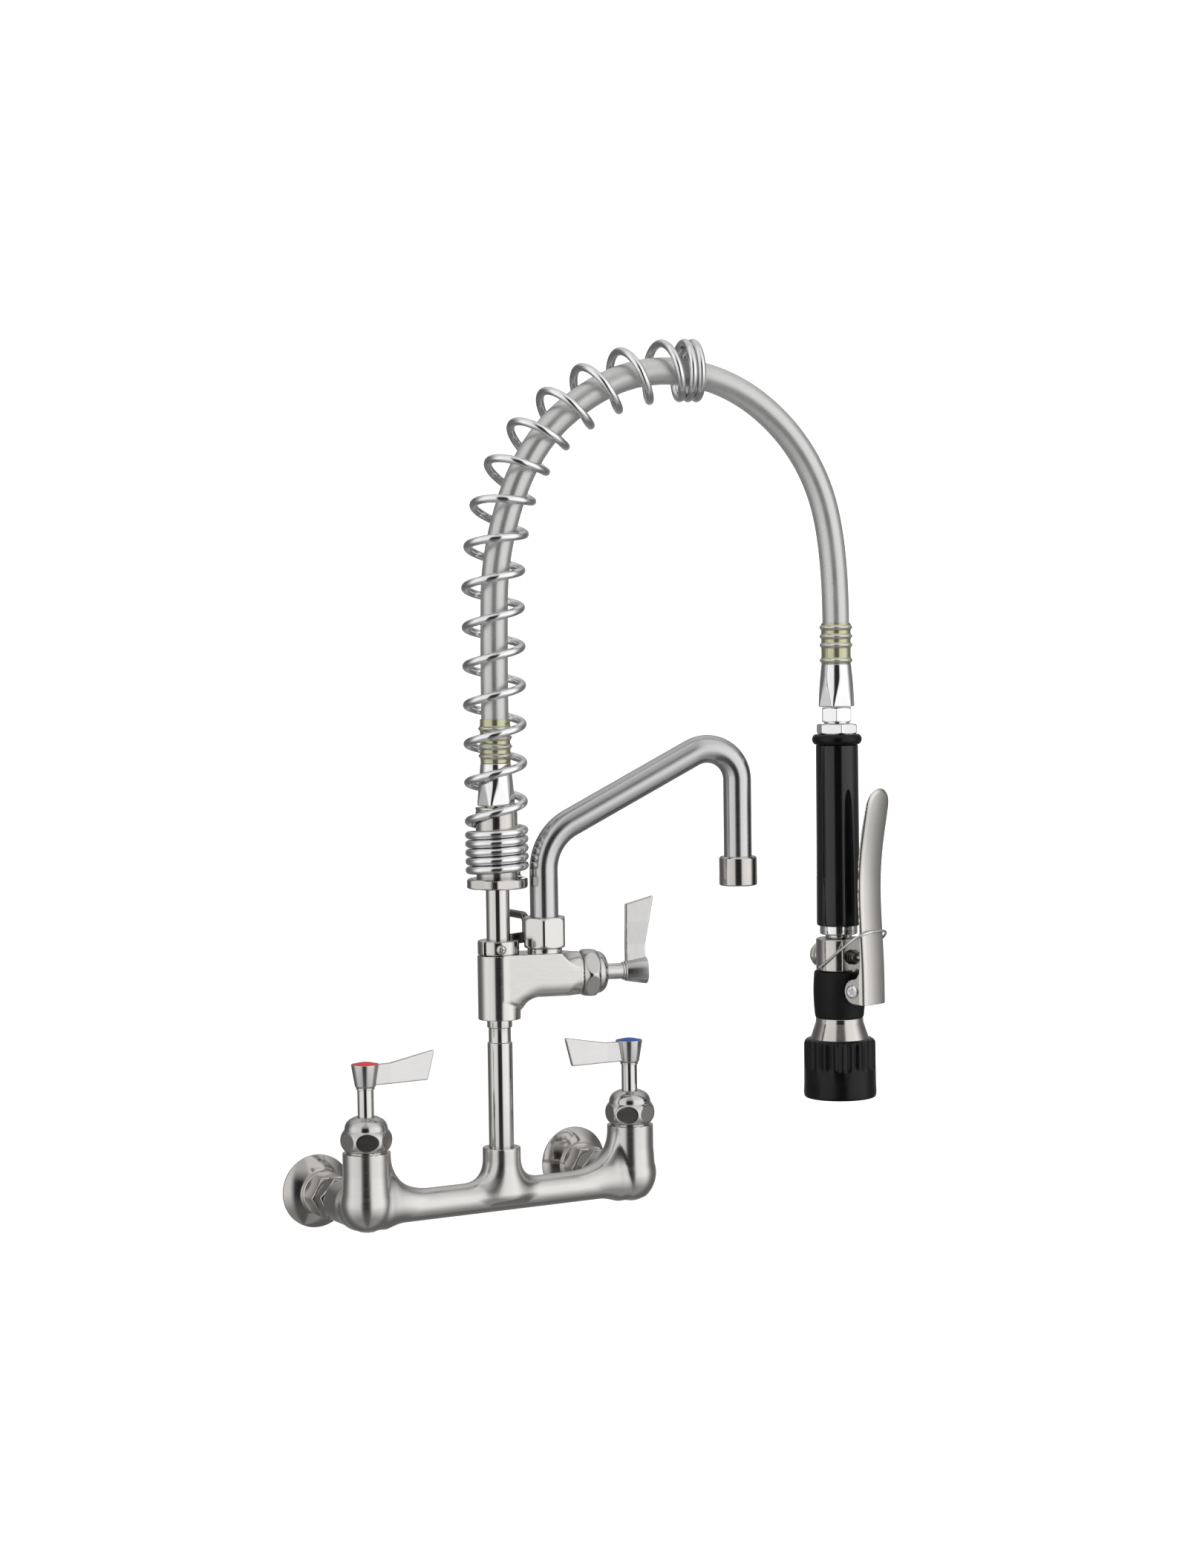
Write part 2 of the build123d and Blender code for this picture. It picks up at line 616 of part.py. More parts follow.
def upper_ferrule():
    ribs = [HOSE_END - 3 - 6.2 * step for step in range(3)] + [UPPER_NUT_TOP + 2.4]
    sleeve = ribbed_ferrule(UPPER_NUT_TOP, HOSE_END, ribs) + rod(SPIGOT_R, UPPER_NUT_TOP - 16, UPPER_NUT_TOP)
    return arm * Pos(SPRAY_REACH, 0, 0) * (sleeve - rod(5.5, UPPER_NUT_TOP - 16, HOSE_END))


def hose_nut(low, high):
    """Long tapered nut whose wide lower half is hexagonal."""
    form = Pos(0, 0, low) * Cone(13.3, 10.4, high - low, align=UPWARD)
    return (form & hexagon(23.4, low, high)) - rod(SPIGOT_R, low, high)


def lower_hose_nut():
    return arm * hose_nut(LOWER_NUT_BOTTOM, LOWER_NUT_TOP)


def upper_hose_nut():
    return arm * Pos(SPRAY_REACH, 0, 0) * hose_nut(SPRAY_HEX_TOP + 0.6, UPPER_NUT_TOP)


# ---------------------------------------------------------------- spray valve, made in its own frame
def spray_inlet():
    """The hose's end fitting; the grip nut swivels on its stem."""
    body = hex_nut(20.4, SPRAY_HEX_BOTTOM, SPRAY_HEX_TOP, 0.8)
    body += rod(SPIGOT_R, SPRAY_HEX_TOP, SPRAY_HEX_TOP + 12)
    body += rod(7.0, 300, SPRAY_HEX_BOTTOM)
    body += rod(7.8, 297, 300.2)
    body += rod(9.0, GRIP_NUT_TOP + 0.3, SPRAY_HEX_BOTTOM)
    return spray * (body - rod(4.5, 297, SPRAY_HEX_TOP + 12))


def grip_nut():
    nut = hex_nut(25.6, RING_TOP, GRIP_NUT_TOP, 0.8) + rod(8.6, 301, RING_TOP)
    return spray * (nut - rod(7.0 + RUNNING, 301, GRIP_NUT_TOP))


def rubber_ring():
    middle = (GRIP_TOP + RING_TOP) / 2
    bulge = (RING_TOP - GRIP_TOP) / 2
    ring = pipe(RING_R - bulge, 8.6, GRIP_TOP, RING_TOP) + Pos(0, 0, middle) * Torus(RING_R - bulge, bulge - 0.05)
    return spray * (ring - rod(8.6, GRIP_TOP, RING_TOP))


def grip_tube():
    """Inner tube of the grip, with the bright band that shows below the sleeve."""
    tube = rod(GRIP_TUBE_R, GRIP_BOTTOM, GRIP_TOP) + rod(13.2, VALVE_TOP + 2.6, GRIP_BOTTOM)
    tube -= rod(8.6, 184, GRIP_TOP)
    return spray * (tube - rod(SPIGOT_R, VALVE_TOP + 2.6, 184))


def grip_sleeve():
    sleeve = turned(
        (GRIP_TUBE_R, GRIP_BOTTOM), (GRIP_R + 0.1, GRIP_BOTTOM), (GRIP_R + 0.4, GRIP_BOTTOM + 2),
        (GRIP_R, 240), (GRIP_R - 0.2, GRIP_TOP), (GRIP_TUBE_R, GRIP_TOP)
    )
    return spray * sleeve


def valve_body():
    body = rod(VALVE_R, VALVE_BOTTOM, VALVE_TOP)
    body -= Pos(VALVE_FLAT, 0, VALVE_BOTTOM) * Box(
        10, 40, VALVE_TOP - VALVE_BOTTOM, align=(Align.MIN, Align.CENTER, Align.MIN)
    )
    body += rod(9.3, VALVE_TOP, VALVE_TOP + 2.6) + rod(SPIGOT_R, VALVE_TOP, 184)
    body += rod(BOOT_BORE, CONE_BOTTOM + 6, VALVE_BOTTOM)
    body += Pos(15, 0, PIVOT_Z) * Box(20, 18, 15)
    body += Pos(0, 0, PLUNGER_Z) * Rot(0, -90, 0) * rod(8.4, 0, CAP_SEAT)
    body -= Pos(PIVOT_X, 0, PIVOT_Z) * along_y(rod(PIVOT_R, -15, 15))
    body -= rod(5.0, CONE_BOTTOM + 6, 148) + rod(4.5, 162, 184)
    body -= Pos(0, 0, PLUNGER_Z) * along_x(rod(6.6, -CAP_SEAT, 8))
    body -= Pos(0, 0, PLUNGER_Z) * along_x(rod(4.0, 8, VALVE_FLAT))
    body -= Pos(BAIL_X, 0, BAIL_Z) * along_y(rod(BAIL_WIRE_R + RUNNING, -16, -12.6))
    body -= Pos(BAIL_X, 0, BAIL_Z) * along_y(rod(BAIL_WIRE_R + RUNNING, 12.6, 16))
    return spray * body


def side_cap():
    """Screwed plug opposite the lever that closes the spring's chamber."""
    cap = rod(6.6, 12, CAP_SEAT) + rod(8.4, CAP_SEAT, CAP_SEAT + 3) + rod(6.8, CAP_SEAT + 3, CAP_SEAT + 5)
    return spray * Pos(0, 0, PLUNGER_Z) * Rot(0, -90, 0) * cap


def packing_nut():
    nut = rod(4.0, 8.6, VALVE_FLAT) + hex_nut(10.5, VALVE_FLAT, 17.2, 0.5) - rod(PLUNGER_R + RUNNING, 8, 18)
    return spray * Pos(0, 0, PLUNGER_Z) * along_x(nut)


def plunger():
    """Push rod with its seat disc; the lever presses the free end."""
    body = rod(PLUNGER_R, 0.6, 30) + rod(5.6, -2.4, 0.6) + rod(2.2, -7, -2.4)
    body += Pos(0, 0, 30) * Cone(PLUNGER_R, 1.5, 1, align=UPWARD)
    return spray * Pos(0, 0, PLUNGER_Z) * along_x(body)


def return_spring():
    turns = 4
    coil_pitch = 2.1
    helix = Helix(pitch=coil_pitch, height=turns * coil_pitch, radius=3.9)
    wire = sweep(Plane(helix @ 0, z_dir=helix % 0) * Circle(0.5), path=helix)
    return spray * Pos(-11.3, 0, PLUNGER_Z) * along_x(wire)


def boot():
    """Barrel-shaped rubber boot around the lower valve body, open where the lever's lug comes out."""
    low, high = BOOT_BOTTOM, VALVE_BOTTOM
    side = Line((0, 0, low), (17.0, 0, low))
    side += ThreePointArc((17.0, 0, low), (18.2, 0, (low + high) / 2), (17.5, 0, high))
    side += Line((17.5, 0, high), (0, 0, high)) + Line((0, 0, high), (0, 0, low))
    skin = revolve(make_face(side), Axis.Z) - rod(BOOT_BORE, low, high)
    return spray * (skin - Pos(18, 0, PIVOT_Z) * Box(20, 18, 15))


def spray_cone():
    cone = turned(
        (BOOT_BORE, BOOT_BOTTOM), (16.6, BOOT_BOTTOM), (16.6, BOOT_BOTTOM - 3), (20.6, CONE_BOTTOM),
        (20.6, CONE_BOTTOM - 3), (22.2, CONE_BOTTOM - 3), (22.2, FACE_BOTTOM + 4), (17, FACE_BOTTOM + 4),
        (17, CONE_BOTTOM - 2), (5, CONE_BOTTOM + 4), (5, CONE_BOTTOM + 6), (BOOT_BORE, CONE_BOTTOM + 6)
    )
    return spray * cone


def bumper():
    """Thick rubber cup, fluted round its upper half, open below."""
    cup = turned(
        (20.6, CONE_BOTTOM), (21.8, CONE_BOTTOM), (BUMPER_R - 0.6, CONE_BOTTOM - 5), (BUMPER_R - 0.3, 66),
        (BUMPER_R, BUMPER_BOTTOM + 3), (BUMPER_R - 1.2, BUMPER_BOTTOM), (BUMPER_R - BUMPER_WALL, BUMPER_BOTTOM),
        (22.2, FACE_BOTTOM - 1), (22.2, CONE_BOTTOM - 3), (20.6, CONE_BOTTOM - 3)
    )
    groove = Pos(BUMPER_R + 0.5, 0, 75) * Cylinder(1.3, 17, align=UPWARD)
    for step in range(FLUTES):
        cup -= Rot(0, 0, 360 * step / FLUTES) * groove
    return spray * cup


def spray_face():
    """Rose plate with rings of jet holes."""
    plate = rod(22.2, FACE_BOTTOM, FACE_BOTTOM + 4)
    for ring_radius, count in ((5, 6), (10, 12), (15, 18)):
        for step in range(count):
            hole = Rot(0, 0, 360 * step / count) * Pos(ring_radius, 0, 0)
            plate -= hole * rod(0.9, FACE_BOTTOM, FACE_BOTTOM + 4)
    return spray * plate


def squeeze_lever():
    """Pressed channel: a broad web, shallow flanges and two ears that reach back to the pivot."""
    web_outer = [(33.7, 123), (32.8, 160), (30.8, 200), (32.2, 226), (35.6, 248), (38.6, 264), (39.6, 275)]
    web_inner = [(x - LEVER_GAUGE, z) for x, z in web_outer]
    flange_inner = [(39.0, 275), (35.2, 258), (29.6, 236), (27.6, 200), (29.4, 160), (29.8, 143)]
    ear = [(24, 141.3), (15.6, 137), (15.6, 127.5), (20, 123)]
    outline = make_face(Polyline(*[(x, 0, z) for x, z in web_outer + flange_inner + ear], close=True))
    hollow_points = web_inner + [(0, 276), (0, 122)]
    hollow = make_face(Polyline(*[(x, 0, z) for x, z in hollow_points], close=True))
    channel = extrude(outline, LEVER_HALF_WIDTH, dir=(0, 1, 0), both=True)
    channel -= extrude(hollow, LEVER_HALF_WIDTH - LEVER_GAUGE, dir=(0, 1, 0), both=True)
    end_view = Pos(0, 0, 115) * extrude(Rectangle(100, 2 * LEVER_HALF_WIDTH), 148)
    tip = Pos(0, 0, 275 - LEVER_HALF_WIDTH) * along_x(rod(LEVER_HALF_WIDTH, 20, 50))
    channel &= end_view + tip
    return spray * (channel - Pos(PIVOT_X, 0, PIVOT_Z) * along_y(rod(PIVOT_R + RUNNING, -14, 14)))


def pivot_screw():
    """Shouldered screw through both ears and the lug, with a cross recess in its head."""
    outer = LEVER_HALF_WIDTH + 0.2
    screw = rod(PIVOT_R, -outer, outer) + rod(4.7, -outer - 1.5, -outer) + rod(4.4, outer, outer + 1.5)
    for turn in (0, 90):
        screw -= Rot(0, 0, turn) * Pos(0, 0, -outer - 1.5) * Box(4.4, 0.9, 1.1, align=UPWARD)
    return spray * Pos(PIVOT_X, 0, PIVOT_Z) * along_y(screw)


def wire_bail():
    """Hold-open loop: two legs hooked into the valve body and a rounded end around the lever."""
    rise = math.radians(BAIL_RISE_DEG)

    def at(distance, across):
        return (BAIL_X + distance * math.cos(rise), across, BAIL_Z + distance * math.sin(rise))

    half = BAIL_HALF_WIDTH
    points = [at(0, -13.2), at(0, -half), at(BAIL_LENGTH, -half), at(BAIL_LENGTH, half), at(0, half), at(0, 13.2)]
    path = FilletPolyline(*points, radius=[1.4, BAIL_CORNER, BAIL_CORNER, 1.4])
    wire = sweep(Plane(path @ 0, z_dir=path % 0) * Circle(BAIL_WIRE_R), path=path)
    return spray * wire


# ---------------------------------------------------------------- write every piece
save("mixer_body", mixer_body())
save("inlet_shanks", at_inlets(inlet_shank()))
save("union_nuts", at_inlets(union_nut()))
save("union_washers", at_inlets(union_washer()))
save("tailpieces", at_inlets(tailpiece()))
save("wall_flanges", at_inlets(wall_flange()))
for name, (bonnet_height, hub_foot, cartridge_depth, flats_turn) in VALVES.items():
    frame = valve_frames[name]
    save(f"bonnet_{name}", frame * bonnet(bonnet_height, flats_turn))
    save(f"cartridge_{name}", frame * cartridge(cartridge_depth))
    save(f"stem_{name}", frame * stem(hub_foot, cartridge_depth))
    save(f"lever_{name}", frame * lever(hub_foot))
    save(f"lever_screw_{name}", frame * lever_screw(hub_foot))
    save(f"index_button_{name}", frame * index_button(hub_foot))
for piece in (
    lower_riser, pot_filler_body, spout_nut, spout_seals, spout_tube, spout_outlet, flow_straightener,
    upper_riser, clamp_collar, clamp_screw, spray_hook, spring_nut, hose_adaptor, overhead_spring, hose,
    lower_ferrule, upper_ferrule, lower_hose_nut, upper_hose_nut, spray_inlet, grip_nut, rubber_ring,
    grip_tube, grip_sleeve, valve_body, side_cap, packing_nut, plunger, return_spring, boot, spray_cone,
    bumper, spray_face, squeeze_lever, pivot_screw, wire_bail,
):
    save(piece.__name__, piece())
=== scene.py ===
import math

import bpy
import numpy as np
from mathutils import Matrix, Vector


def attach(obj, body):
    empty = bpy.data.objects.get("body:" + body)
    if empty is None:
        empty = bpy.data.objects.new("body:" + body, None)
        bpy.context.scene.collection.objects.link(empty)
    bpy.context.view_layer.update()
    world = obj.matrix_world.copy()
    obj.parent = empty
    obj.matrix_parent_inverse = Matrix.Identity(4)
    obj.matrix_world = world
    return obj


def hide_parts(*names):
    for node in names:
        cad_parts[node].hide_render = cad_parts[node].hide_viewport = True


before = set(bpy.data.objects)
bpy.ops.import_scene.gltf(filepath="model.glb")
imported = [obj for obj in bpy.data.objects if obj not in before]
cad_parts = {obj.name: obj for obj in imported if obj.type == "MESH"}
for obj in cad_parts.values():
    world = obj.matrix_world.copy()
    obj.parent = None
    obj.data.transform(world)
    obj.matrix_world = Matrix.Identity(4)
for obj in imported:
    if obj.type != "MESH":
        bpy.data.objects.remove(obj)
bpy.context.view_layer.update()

# Pieces are shaped in millimetres in their own frames, then placed in the row frame, in metres.
MM = 0.001

# ---- driving dimensions, as in the CAD model
HALF_SPACING = 101.6
WALL_TO_AXIS = 85.0
ARM_TURN = -15.0
SPRAY_REACH = 245.0
LEVER_TURN = -59.0
SPOUT_X = 32.5
SPOUT_REACH = 171.6
FILLER_AXIS_Z = 151.0
FILLER_ARM_END = 56.2
COLUMN_TOP = 40.0
FILLER_HALF = 14.4
SPOUT_R = 9.75
FLANGE_R = 25.5
TAIL_R = 10.4
TAIL_BORE_R = 7.5
RISER_BORE_R = 6.3
LOWER_RISER_R = 8.6
UPPER_RISER_R = 8.1
HUB_HEIGHT = 15.5
BUTTON_R = 8.7
SPRING_BASE = 218.4
WIRE_R = 2.85
COIL_R = 18.9
CLOSED_PITCH = 6.0
OPEN_PITCH = 26.4
CLOSED_LOW = 5.3
CLOSED_HIGH = 2.3
ADAPTOR_TOP = 267.0
LOWER_NUT_TOP = 297.0
UPPER_NUT_TOP = 360.6
HOSE_R = 9.4
HOSE_BOTTOM = 327.0
HOSE_END = 389.0
GRIP_TOP = 304.0
BODY_TOP = 170.5
BODY_FOOT = 144.7
BOOT_FOOT = 111.8
VALVE_Z = 155.0
PIVOT_X = 23.0
PIVOT_Z = 132.5
LEVER_HALF = 12.8
LEVER_TIP = 275.0
GAUGE = 1.5
BAIL_WIRE_R = 0.9
# The spring's middle line from its foot: length, and radius where it bends over
SPRING_RUNS = [
    (408.0 - SPRING_BASE, None), (300 * math.radians(10), 300.0), (120 * math.radians(35), 120.0),
    (136 * math.radians(45), 136.0), (16.0, None),
]
# The hose's route in the arch's plane, as in the CAD model: distance from the riser, height, in metres
HOSE_ROUTE = [
    (0, 0.327), (0, 0.380), (0.002, 0.444), (0.027, 0.513), (0.075, 0.554),
    (0.125, 0.567), (0.180, 0.552), (0.225, 0.508), (0.245, 0.448), (0.245, 0.389),
]
# The camera's bearing, downward tilt and roll
YAW, PITCH, ROLL = math.radians(29.04), math.radians(3.054), math.radians(-0.802)


def move(x, y, z):
    return Matrix.Translation((x, y, z))


def turn(axis, degrees):
    return Matrix.Rotation(math.radians(degrees), 4, axis)


WHERE_MADE = Matrix.Identity(4)
RISER = move(0, -WALL_TO_AXIS, 0)
ARM = RISER @ turn("Z", ARM_TURN)
SPRAY = ARM @ move(SPRAY_REACH, 0, 0) @ turn("Z", LEVER_TURN)
INLETS = [move(side * HALF_SPACING, 0, 0) @ turn("X", -90) for side in (-1, 1)]
VALVES = {
    "hot": move(-HALF_SPACING, -WALL_TO_AXIS, COLUMN_TOP),
    "cold": move(HALF_SPACING, -WALL_TO_AXIS, COLUMN_TOP) @ turn("Z", 180),
    "filler": ARM @ move(FILLER_ARM_END, 0, FILLER_AXIS_Z) @ turn("Y", 90) @ turn("Z", 180),
}
# bonnet height, height of the lever hub's foot above each valve's neck, and turn of the bonnet's flats
VALVE_SIZES = {"hot": (23.5, 43.5, 40.0), "cold": (23.5, 43.5, 23.0), "filler": (19.5, 32.4, 30.0)}


# ---- outlines
def arc(start, middle, end, steps=10):
    """Points on the circle through three points of an outline."""
    (ax, ay), (bx, by), (cx, cy) = start, middle, end
    d = 2 * (ax * (by - cy) + bx * (cy - ay) + cx * (ay - by))
    sa, sb, sc = ax * ax + ay * ay, bx * bx + by * by, cx * cx + cy * cy
    ux = (sa * (by - cy) + sb * (cy - ay) + sc * (ay - by)) / d
    uy = (sa * (cx - bx) + sb * (ax - cx) + sc * (bx - ax)) / d
    first = math.atan2(ay - uy, ax - ux)
    mid = (math.atan2(by - uy, bx - ux) - first) % math.tau
    last = (math.atan2(cy - uy, cx - ux) - first) % math.tau
    if mid > last:
        last -= math.tau
    radius = math.hypot(ax - ux, ay - uy)
    angles = [first + last * i / steps for i in range(steps + 1)]
    return [(ux + radius * math.cos(a), uy + radius * math.sin(a)) for a in angles]


def soften(outline, radius=0.5, closed=True, steps=3):
    """Rounds an outline's corners with small arcs."""
    result = []
    count = len(outline)
    for i, here in enumerate(outline):
        if not closed and i in (0, count - 1):
            result.append(here)
            continue
        p, a, b = Vector(here), Vector(outline[i - 1]), Vector(outline[(i + 1) % count])
        u, v = (a - p), (b - p)
        bend = math.pi - u.angle(v)
        if bend < 0.2:
            result.append(here)
            continue
        cut = min(radius * math.tan(bend / 2), 0.45 * u.length, 0.45 * v.length)
        u, v = p + cut * u.normalized(), p + cut * v.normalized()
        for k in range(steps + 1):
            t = k / steps
            q = (1 - t) ** 2 * u + 2 * t * (1 - t) * p + t * t * v
            result.append((q.x, q.y))
    return result


def rounded_path(corners, bends, steps=8):
    """A line through the corners, with an arc of the given radius at each inner one."""
    corners = [Vector(c) for c in corners]
    points = [corners[0]]
    for before, here, after, bend in zip(corners, corners[1:], corners[2:], bends):
        u, v = (before - here).normalized(), (after - here).normalized()
        half = u.angle(v) / 2
        a, b = here + u * bend / math.tan(half), here + v * bend / math.tan(half)
        centre = here + (u + v).normalized() * bend / math.sin(half)
        for k in range(steps + 1):
            direction = (a - centre).normalized().slerp((b - centre).normalized(), k / steps)
            points.append(centre + direction * bend)
    return points + [corners[-1]]


# ---- meshes: (points, faces) pairs
def loft(rings, closed=False):
    """Joins rings of equal length into a tube; open ends get a flat cap."""
    rings = [np.asarray(r, float) for r in rings]
    around = len(rings[0])
    points = np.vstack(rings)
    faces = []
    for i in range(len(rings) - (0 if closed else 1)):
        a, b = i * around, ((i + 1) % len(rings)) * around
        for j in range(around):
            k = (j + 1) % around
            faces.append((a + j, a + k, b + k, b + j))
    if not closed:
        faces.append(tuple(reversed(range(around))))
        faces.append(tuple(range(len(points) - around, len(points))))
    return points, faces


def lathe(outline, around=96, radius=0.5):
    """Turns a closed outline of (radius, height) about Z; points on the axis become the middle of a cap."""
    on_axis = [p[0] < 1e-6 for p in outline]
    if any(on_axis):
        first = next(i for i in range(len(outline)) if not on_axis[i] and on_axis[i - 1])
        outline = [p for p in outline[first:] + outline[:first] if p[0] > 1e-6]
        start, end = (1e-3, outline[0][1]), (1e-3, outline[-1][1])
        outline = soften([start] + outline + [end], radius, closed=False)
    else:
        outline = soften(outline, radius)
    angles = [math.tau * j / around for j in range(around)]
    rings = [[(r * math.cos(a), r * math.sin(a), z) for a in angles] for r, z in outline]
    return loft(rings, closed=not any(on_axis))


def sweep(path, radius, around=32):
    """A round bar along a path of points."""
    path = np.asarray(path, float)
    tangents = np.gradient(path, axis=0)
    tangents /= np.linalg.norm(tangents, axis=1)[:, None]
    side = np.cross(tangents[0], (0.13, 0.27, 0.95))
    rings = []
    for p, t in zip(path, tangents):
        side = side - t * side.dot(t)
        side /= np.linalg.norm(side)
        up = np.cross(t, side)
        rings.append([
            p + radius * (math.cos(a) * side + math.sin(a) * up)
            for a in (math.tau * j / around for j in range(around))
        ])
    return loft(rings)


def together(*meshes):
    points, faces, start = [], [], 0
    for some_points, some_faces in meshes:
        points.append(np.asarray(some_points, float))
        faces += [tuple(int(i) + start for i in f) for f in some_faces]
        start += len(some_points)
    return np.vstack(points), faces


def placed(mesh, place):
    points = np.asarray(mesh[0], float)
    m = np.array(place)
    return points @ m[:3, :3].T + m[:3, 3], mesh[1]


# ---- fields: signed distances in millimetres
def ease(value, low, high):
    """Smooth step from 0 at low to 1 at high."""
    s = np.clip((value - low) / (high - low), 0, 1)
    return s * s * (3 - 2 * s)


def blended(a, b, width):
    """Union of two fields with a fillet about as wide as given."""
    h = np.maximum(width - np.abs(a - b), 0) / width
    return np.minimum(a, b) - h * h * width / 4


def shared(a, b, width=0.6):
    """Intersection of two fields with a rounded edge."""
    return -blended(-a, -b, width)


def without(a, b, width=0.6):
    return shared(a, -b, width)


def bar(p, start, end, radius, edge=1.0):
    """A cylinder between two points, with softened rims."""
    start, end = np.array(start, float), np.array(end, float)
    along = end - start
    length = np.linalg.norm(along)
    t = (p - start) @ (along / length)
    side = np.linalg.norm(p - start - t[:, None] * along / length, axis=1) - radius
    return shared(side, np.maximum(-t, t - length), edge)


def disc(p, low, high, radius, edge=1.0):
    """A cylinder about Z."""
    return bar(p, (0, 0, low), (0, 0, high), radius, edge)


def from_axis(p):
    return np.hypot(p[:, 0], p[:, 1])


def polygon(q, outline):
    """Signed distance of the points q to a closed outline, negative inside."""
    outline = np.asarray(outline, float)
    best = np.full(len(q), 1e18)
    inside = np.zeros(len(q), bool)
    for a, b in zip(outline, np.roll(outline, -1, axis=0)):
        edge = b - a
        w = q - a
        t = np.clip(w @ edge / max(edge @ edge, 1e-12), 0, 1)
        gap = w - t[:, None] * edge
        best = np.minimum(best, (gap * gap).sum(axis=1))
        crosses = (a[1] > q[:, 1]) != (b[1] > q[:, 1])
        rise = edge[1] if abs(edge[1]) > 1e-12 else 1e-12
        inside ^= crosses & (q[:, 0] < a[0] + (q[:, 1] - a[1]) * edge[0] / rise)
    return np.where(inside, -1, 1) * np.sqrt(best)


def turned(p, outline):
    """The field of an outline of (radius, height) turned about Z; it may start and end on the axis."""
    past_axis = [(r if r > 1e-6 else -30.0, z) for r, z in outline]
    return polygon(np.stack([from_axis(p), p[:, 2]], axis=1), past_axis)


def hexagon(p, across_flats, turned_by=0.0):
    field = np.full(len(p), -1e9)
    for k in range(3):
        a = math.radians(30 + 60 * k + turned_by)
        field = np.maximum(field, np.abs(p[:, 0] * math.cos(a) + p[:, 1] * math.sin(a)) - across_flats / 2)
    return field


def block(p, low, high, edge=0.5):
    """A box between two corners with rounded edges."""
    low, high = np.array(low, float), np.array(high, float)
    q = np.abs(p - (low + high) / 2) - (high - low) / 2 + edge
    outside = np.linalg.norm(np.maximum(q, 0), axis=1)
    return outside + np.minimum(q.max(axis=1), 0) - edge


def surface(field, low, high, step):
    """Meshes a field's zero surface: one point per crossed cell, drawn onto the surface."""
    axes = [np.arange(a - step, b + 2 * step, step) for a, b in zip(low, high)]
    shape = tuple(len(a) for a in axes)
    grid = np.stack(np.meshgrid(*axes, indexing="ij"), axis=-1).reshape(-1, 3)
    values = field(grid).reshape(shape)
    inside = values < 0
    corners = [(i, j, k) for i in (0, 1) for j in (0, 1) for k in (0, 1)]
    size = tuple(n - 1 for n in shape)

    def shifted(array, c):
        return array[c[0]:c[0] + size[0], c[1]:c[1] + size[1], c[2]:c[2] + size[2]]

    count = sum(shifted(inside, c).astype(np.int8) for c in corners)
    cells = np.argwhere((count > 0) & (count < 8))
    number = np.full(size, -1, np.int64)
    number[tuple(cells.T)] = np.arange(len(cells))
    total, hits = np.zeros((len(cells), 3)), np.zeros(len(cells))
    for c in corners:
        for axis in range(3):
            if c[axis]:
                continue
            d = tuple(1 if n == axis else c[n] for n in range(3))
            va, vb = values[tuple((cells + c).T)], values[tuple((cells + d).T)]
            crossed = (va < 0) != (vb < 0)
            t = va / np.where(crossed, va - vb, 1)
            at = np.array(c, float) + np.where(np.arange(3) == axis, 1.0, 0.0) * t[:, None]
            total += at * crossed[:, None]
            hits += crossed
    points = (cells + total / hits[:, None]) * step + np.array([a[0] for a in axes])
    for _ in range(3):
        here = field(points)
        slope = np.stack([
            (field(points + 0.02 * e) - field(points - 0.02 * e)) / 0.04 for e in np.eye(3)
        ], axis=1)
        pull = here[:, None] * slope / np.maximum((slope * slope).sum(axis=1), 0.05)[:, None]
        points = points - np.clip(pull, -step / 2, step / 2)
    faces = []
    for axis in range(3):
        u, v = (axis + 1) % 3, (axis + 2) % 3
        low_side = inside.take(range(shape[axis] - 1), axis)
        high_side = inside.take(range(1, shape[axis]), axis)
        at = np.argwhere(low_side != high_side)
        at = at[(at[:, u] > 0) & (at[:, v] > 0) & (at[:, u] < size[u]) & (at[:, v] < size[v])]
        eu, ev = np.eye(3, dtype=int)[u], np.eye(3, dtype=int)[v]
        quad = np.stack([number[tuple((at - s).T)] for s in (eu + ev, ev, 0 * eu, eu)], axis=1)
        flip = high_side[tuple(at.T)]
        quad[flip] = quad[flip][:, ::-1]
        faces.append(quad)
    return points, np.vstack(faces)


# ---- materials
class Graph:
    """A tree of shader nodes; each method adds nodes and gives the last one's output."""

    def __init__(self, tree):
        self.nodes, self.links = tree.nodes, tree.links

    def node(self, kind, inputs, output=0, **settings):
        """Adds a node, each of whose inputs is a plain value or another node's output."""
        made = self.nodes.new(f"ShaderNode{kind}")
        for name, setting in settings.items():
            setattr(made, name, setting)
        for socket, value in inputs.items():
            if isinstance(value, bpy.types.NodeSocket):
                self.links.new(value, made.inputs[socket])
            else:
                made.inputs[socket].default_value = value
        return made.outputs[output]

    def math(self, operation, first, second=0.0):
        return self.node("Math", {0: first, 1: second}, operation=operation)

    def sum(self, first, second):
        return self.math("ADD", first, second)

    def product(self, first, second):
        return self.math("MULTIPLY", first, second)

    def split(self, vector):
        return self.node("SeparateXYZ", {0: vector}).node.outputs

    def scaled(self, vector, scale):
        return self.node("VectorMath", {0: vector, "Scale": scale}, operation="SCALE")

    def ranged(self, value, low, high, start=0.3, end=0.7):
        limits = {"From Min": start, "From Max": end, "To Min": low, "To Max": high}
        return self.node("MapRange", {"Value": value, **limits})

    def mixed(self, value, first, second):
        """Mixes two colours, each three numbers or another node's output."""
        ends = [c if isinstance(c, bpy.types.NodeSocket) else (*c, 1) for c in (first, second)]
        return self.node("Mix", {0: value, 6: ends[0], 7: ends[1]}, 2, data_type="RGBA")


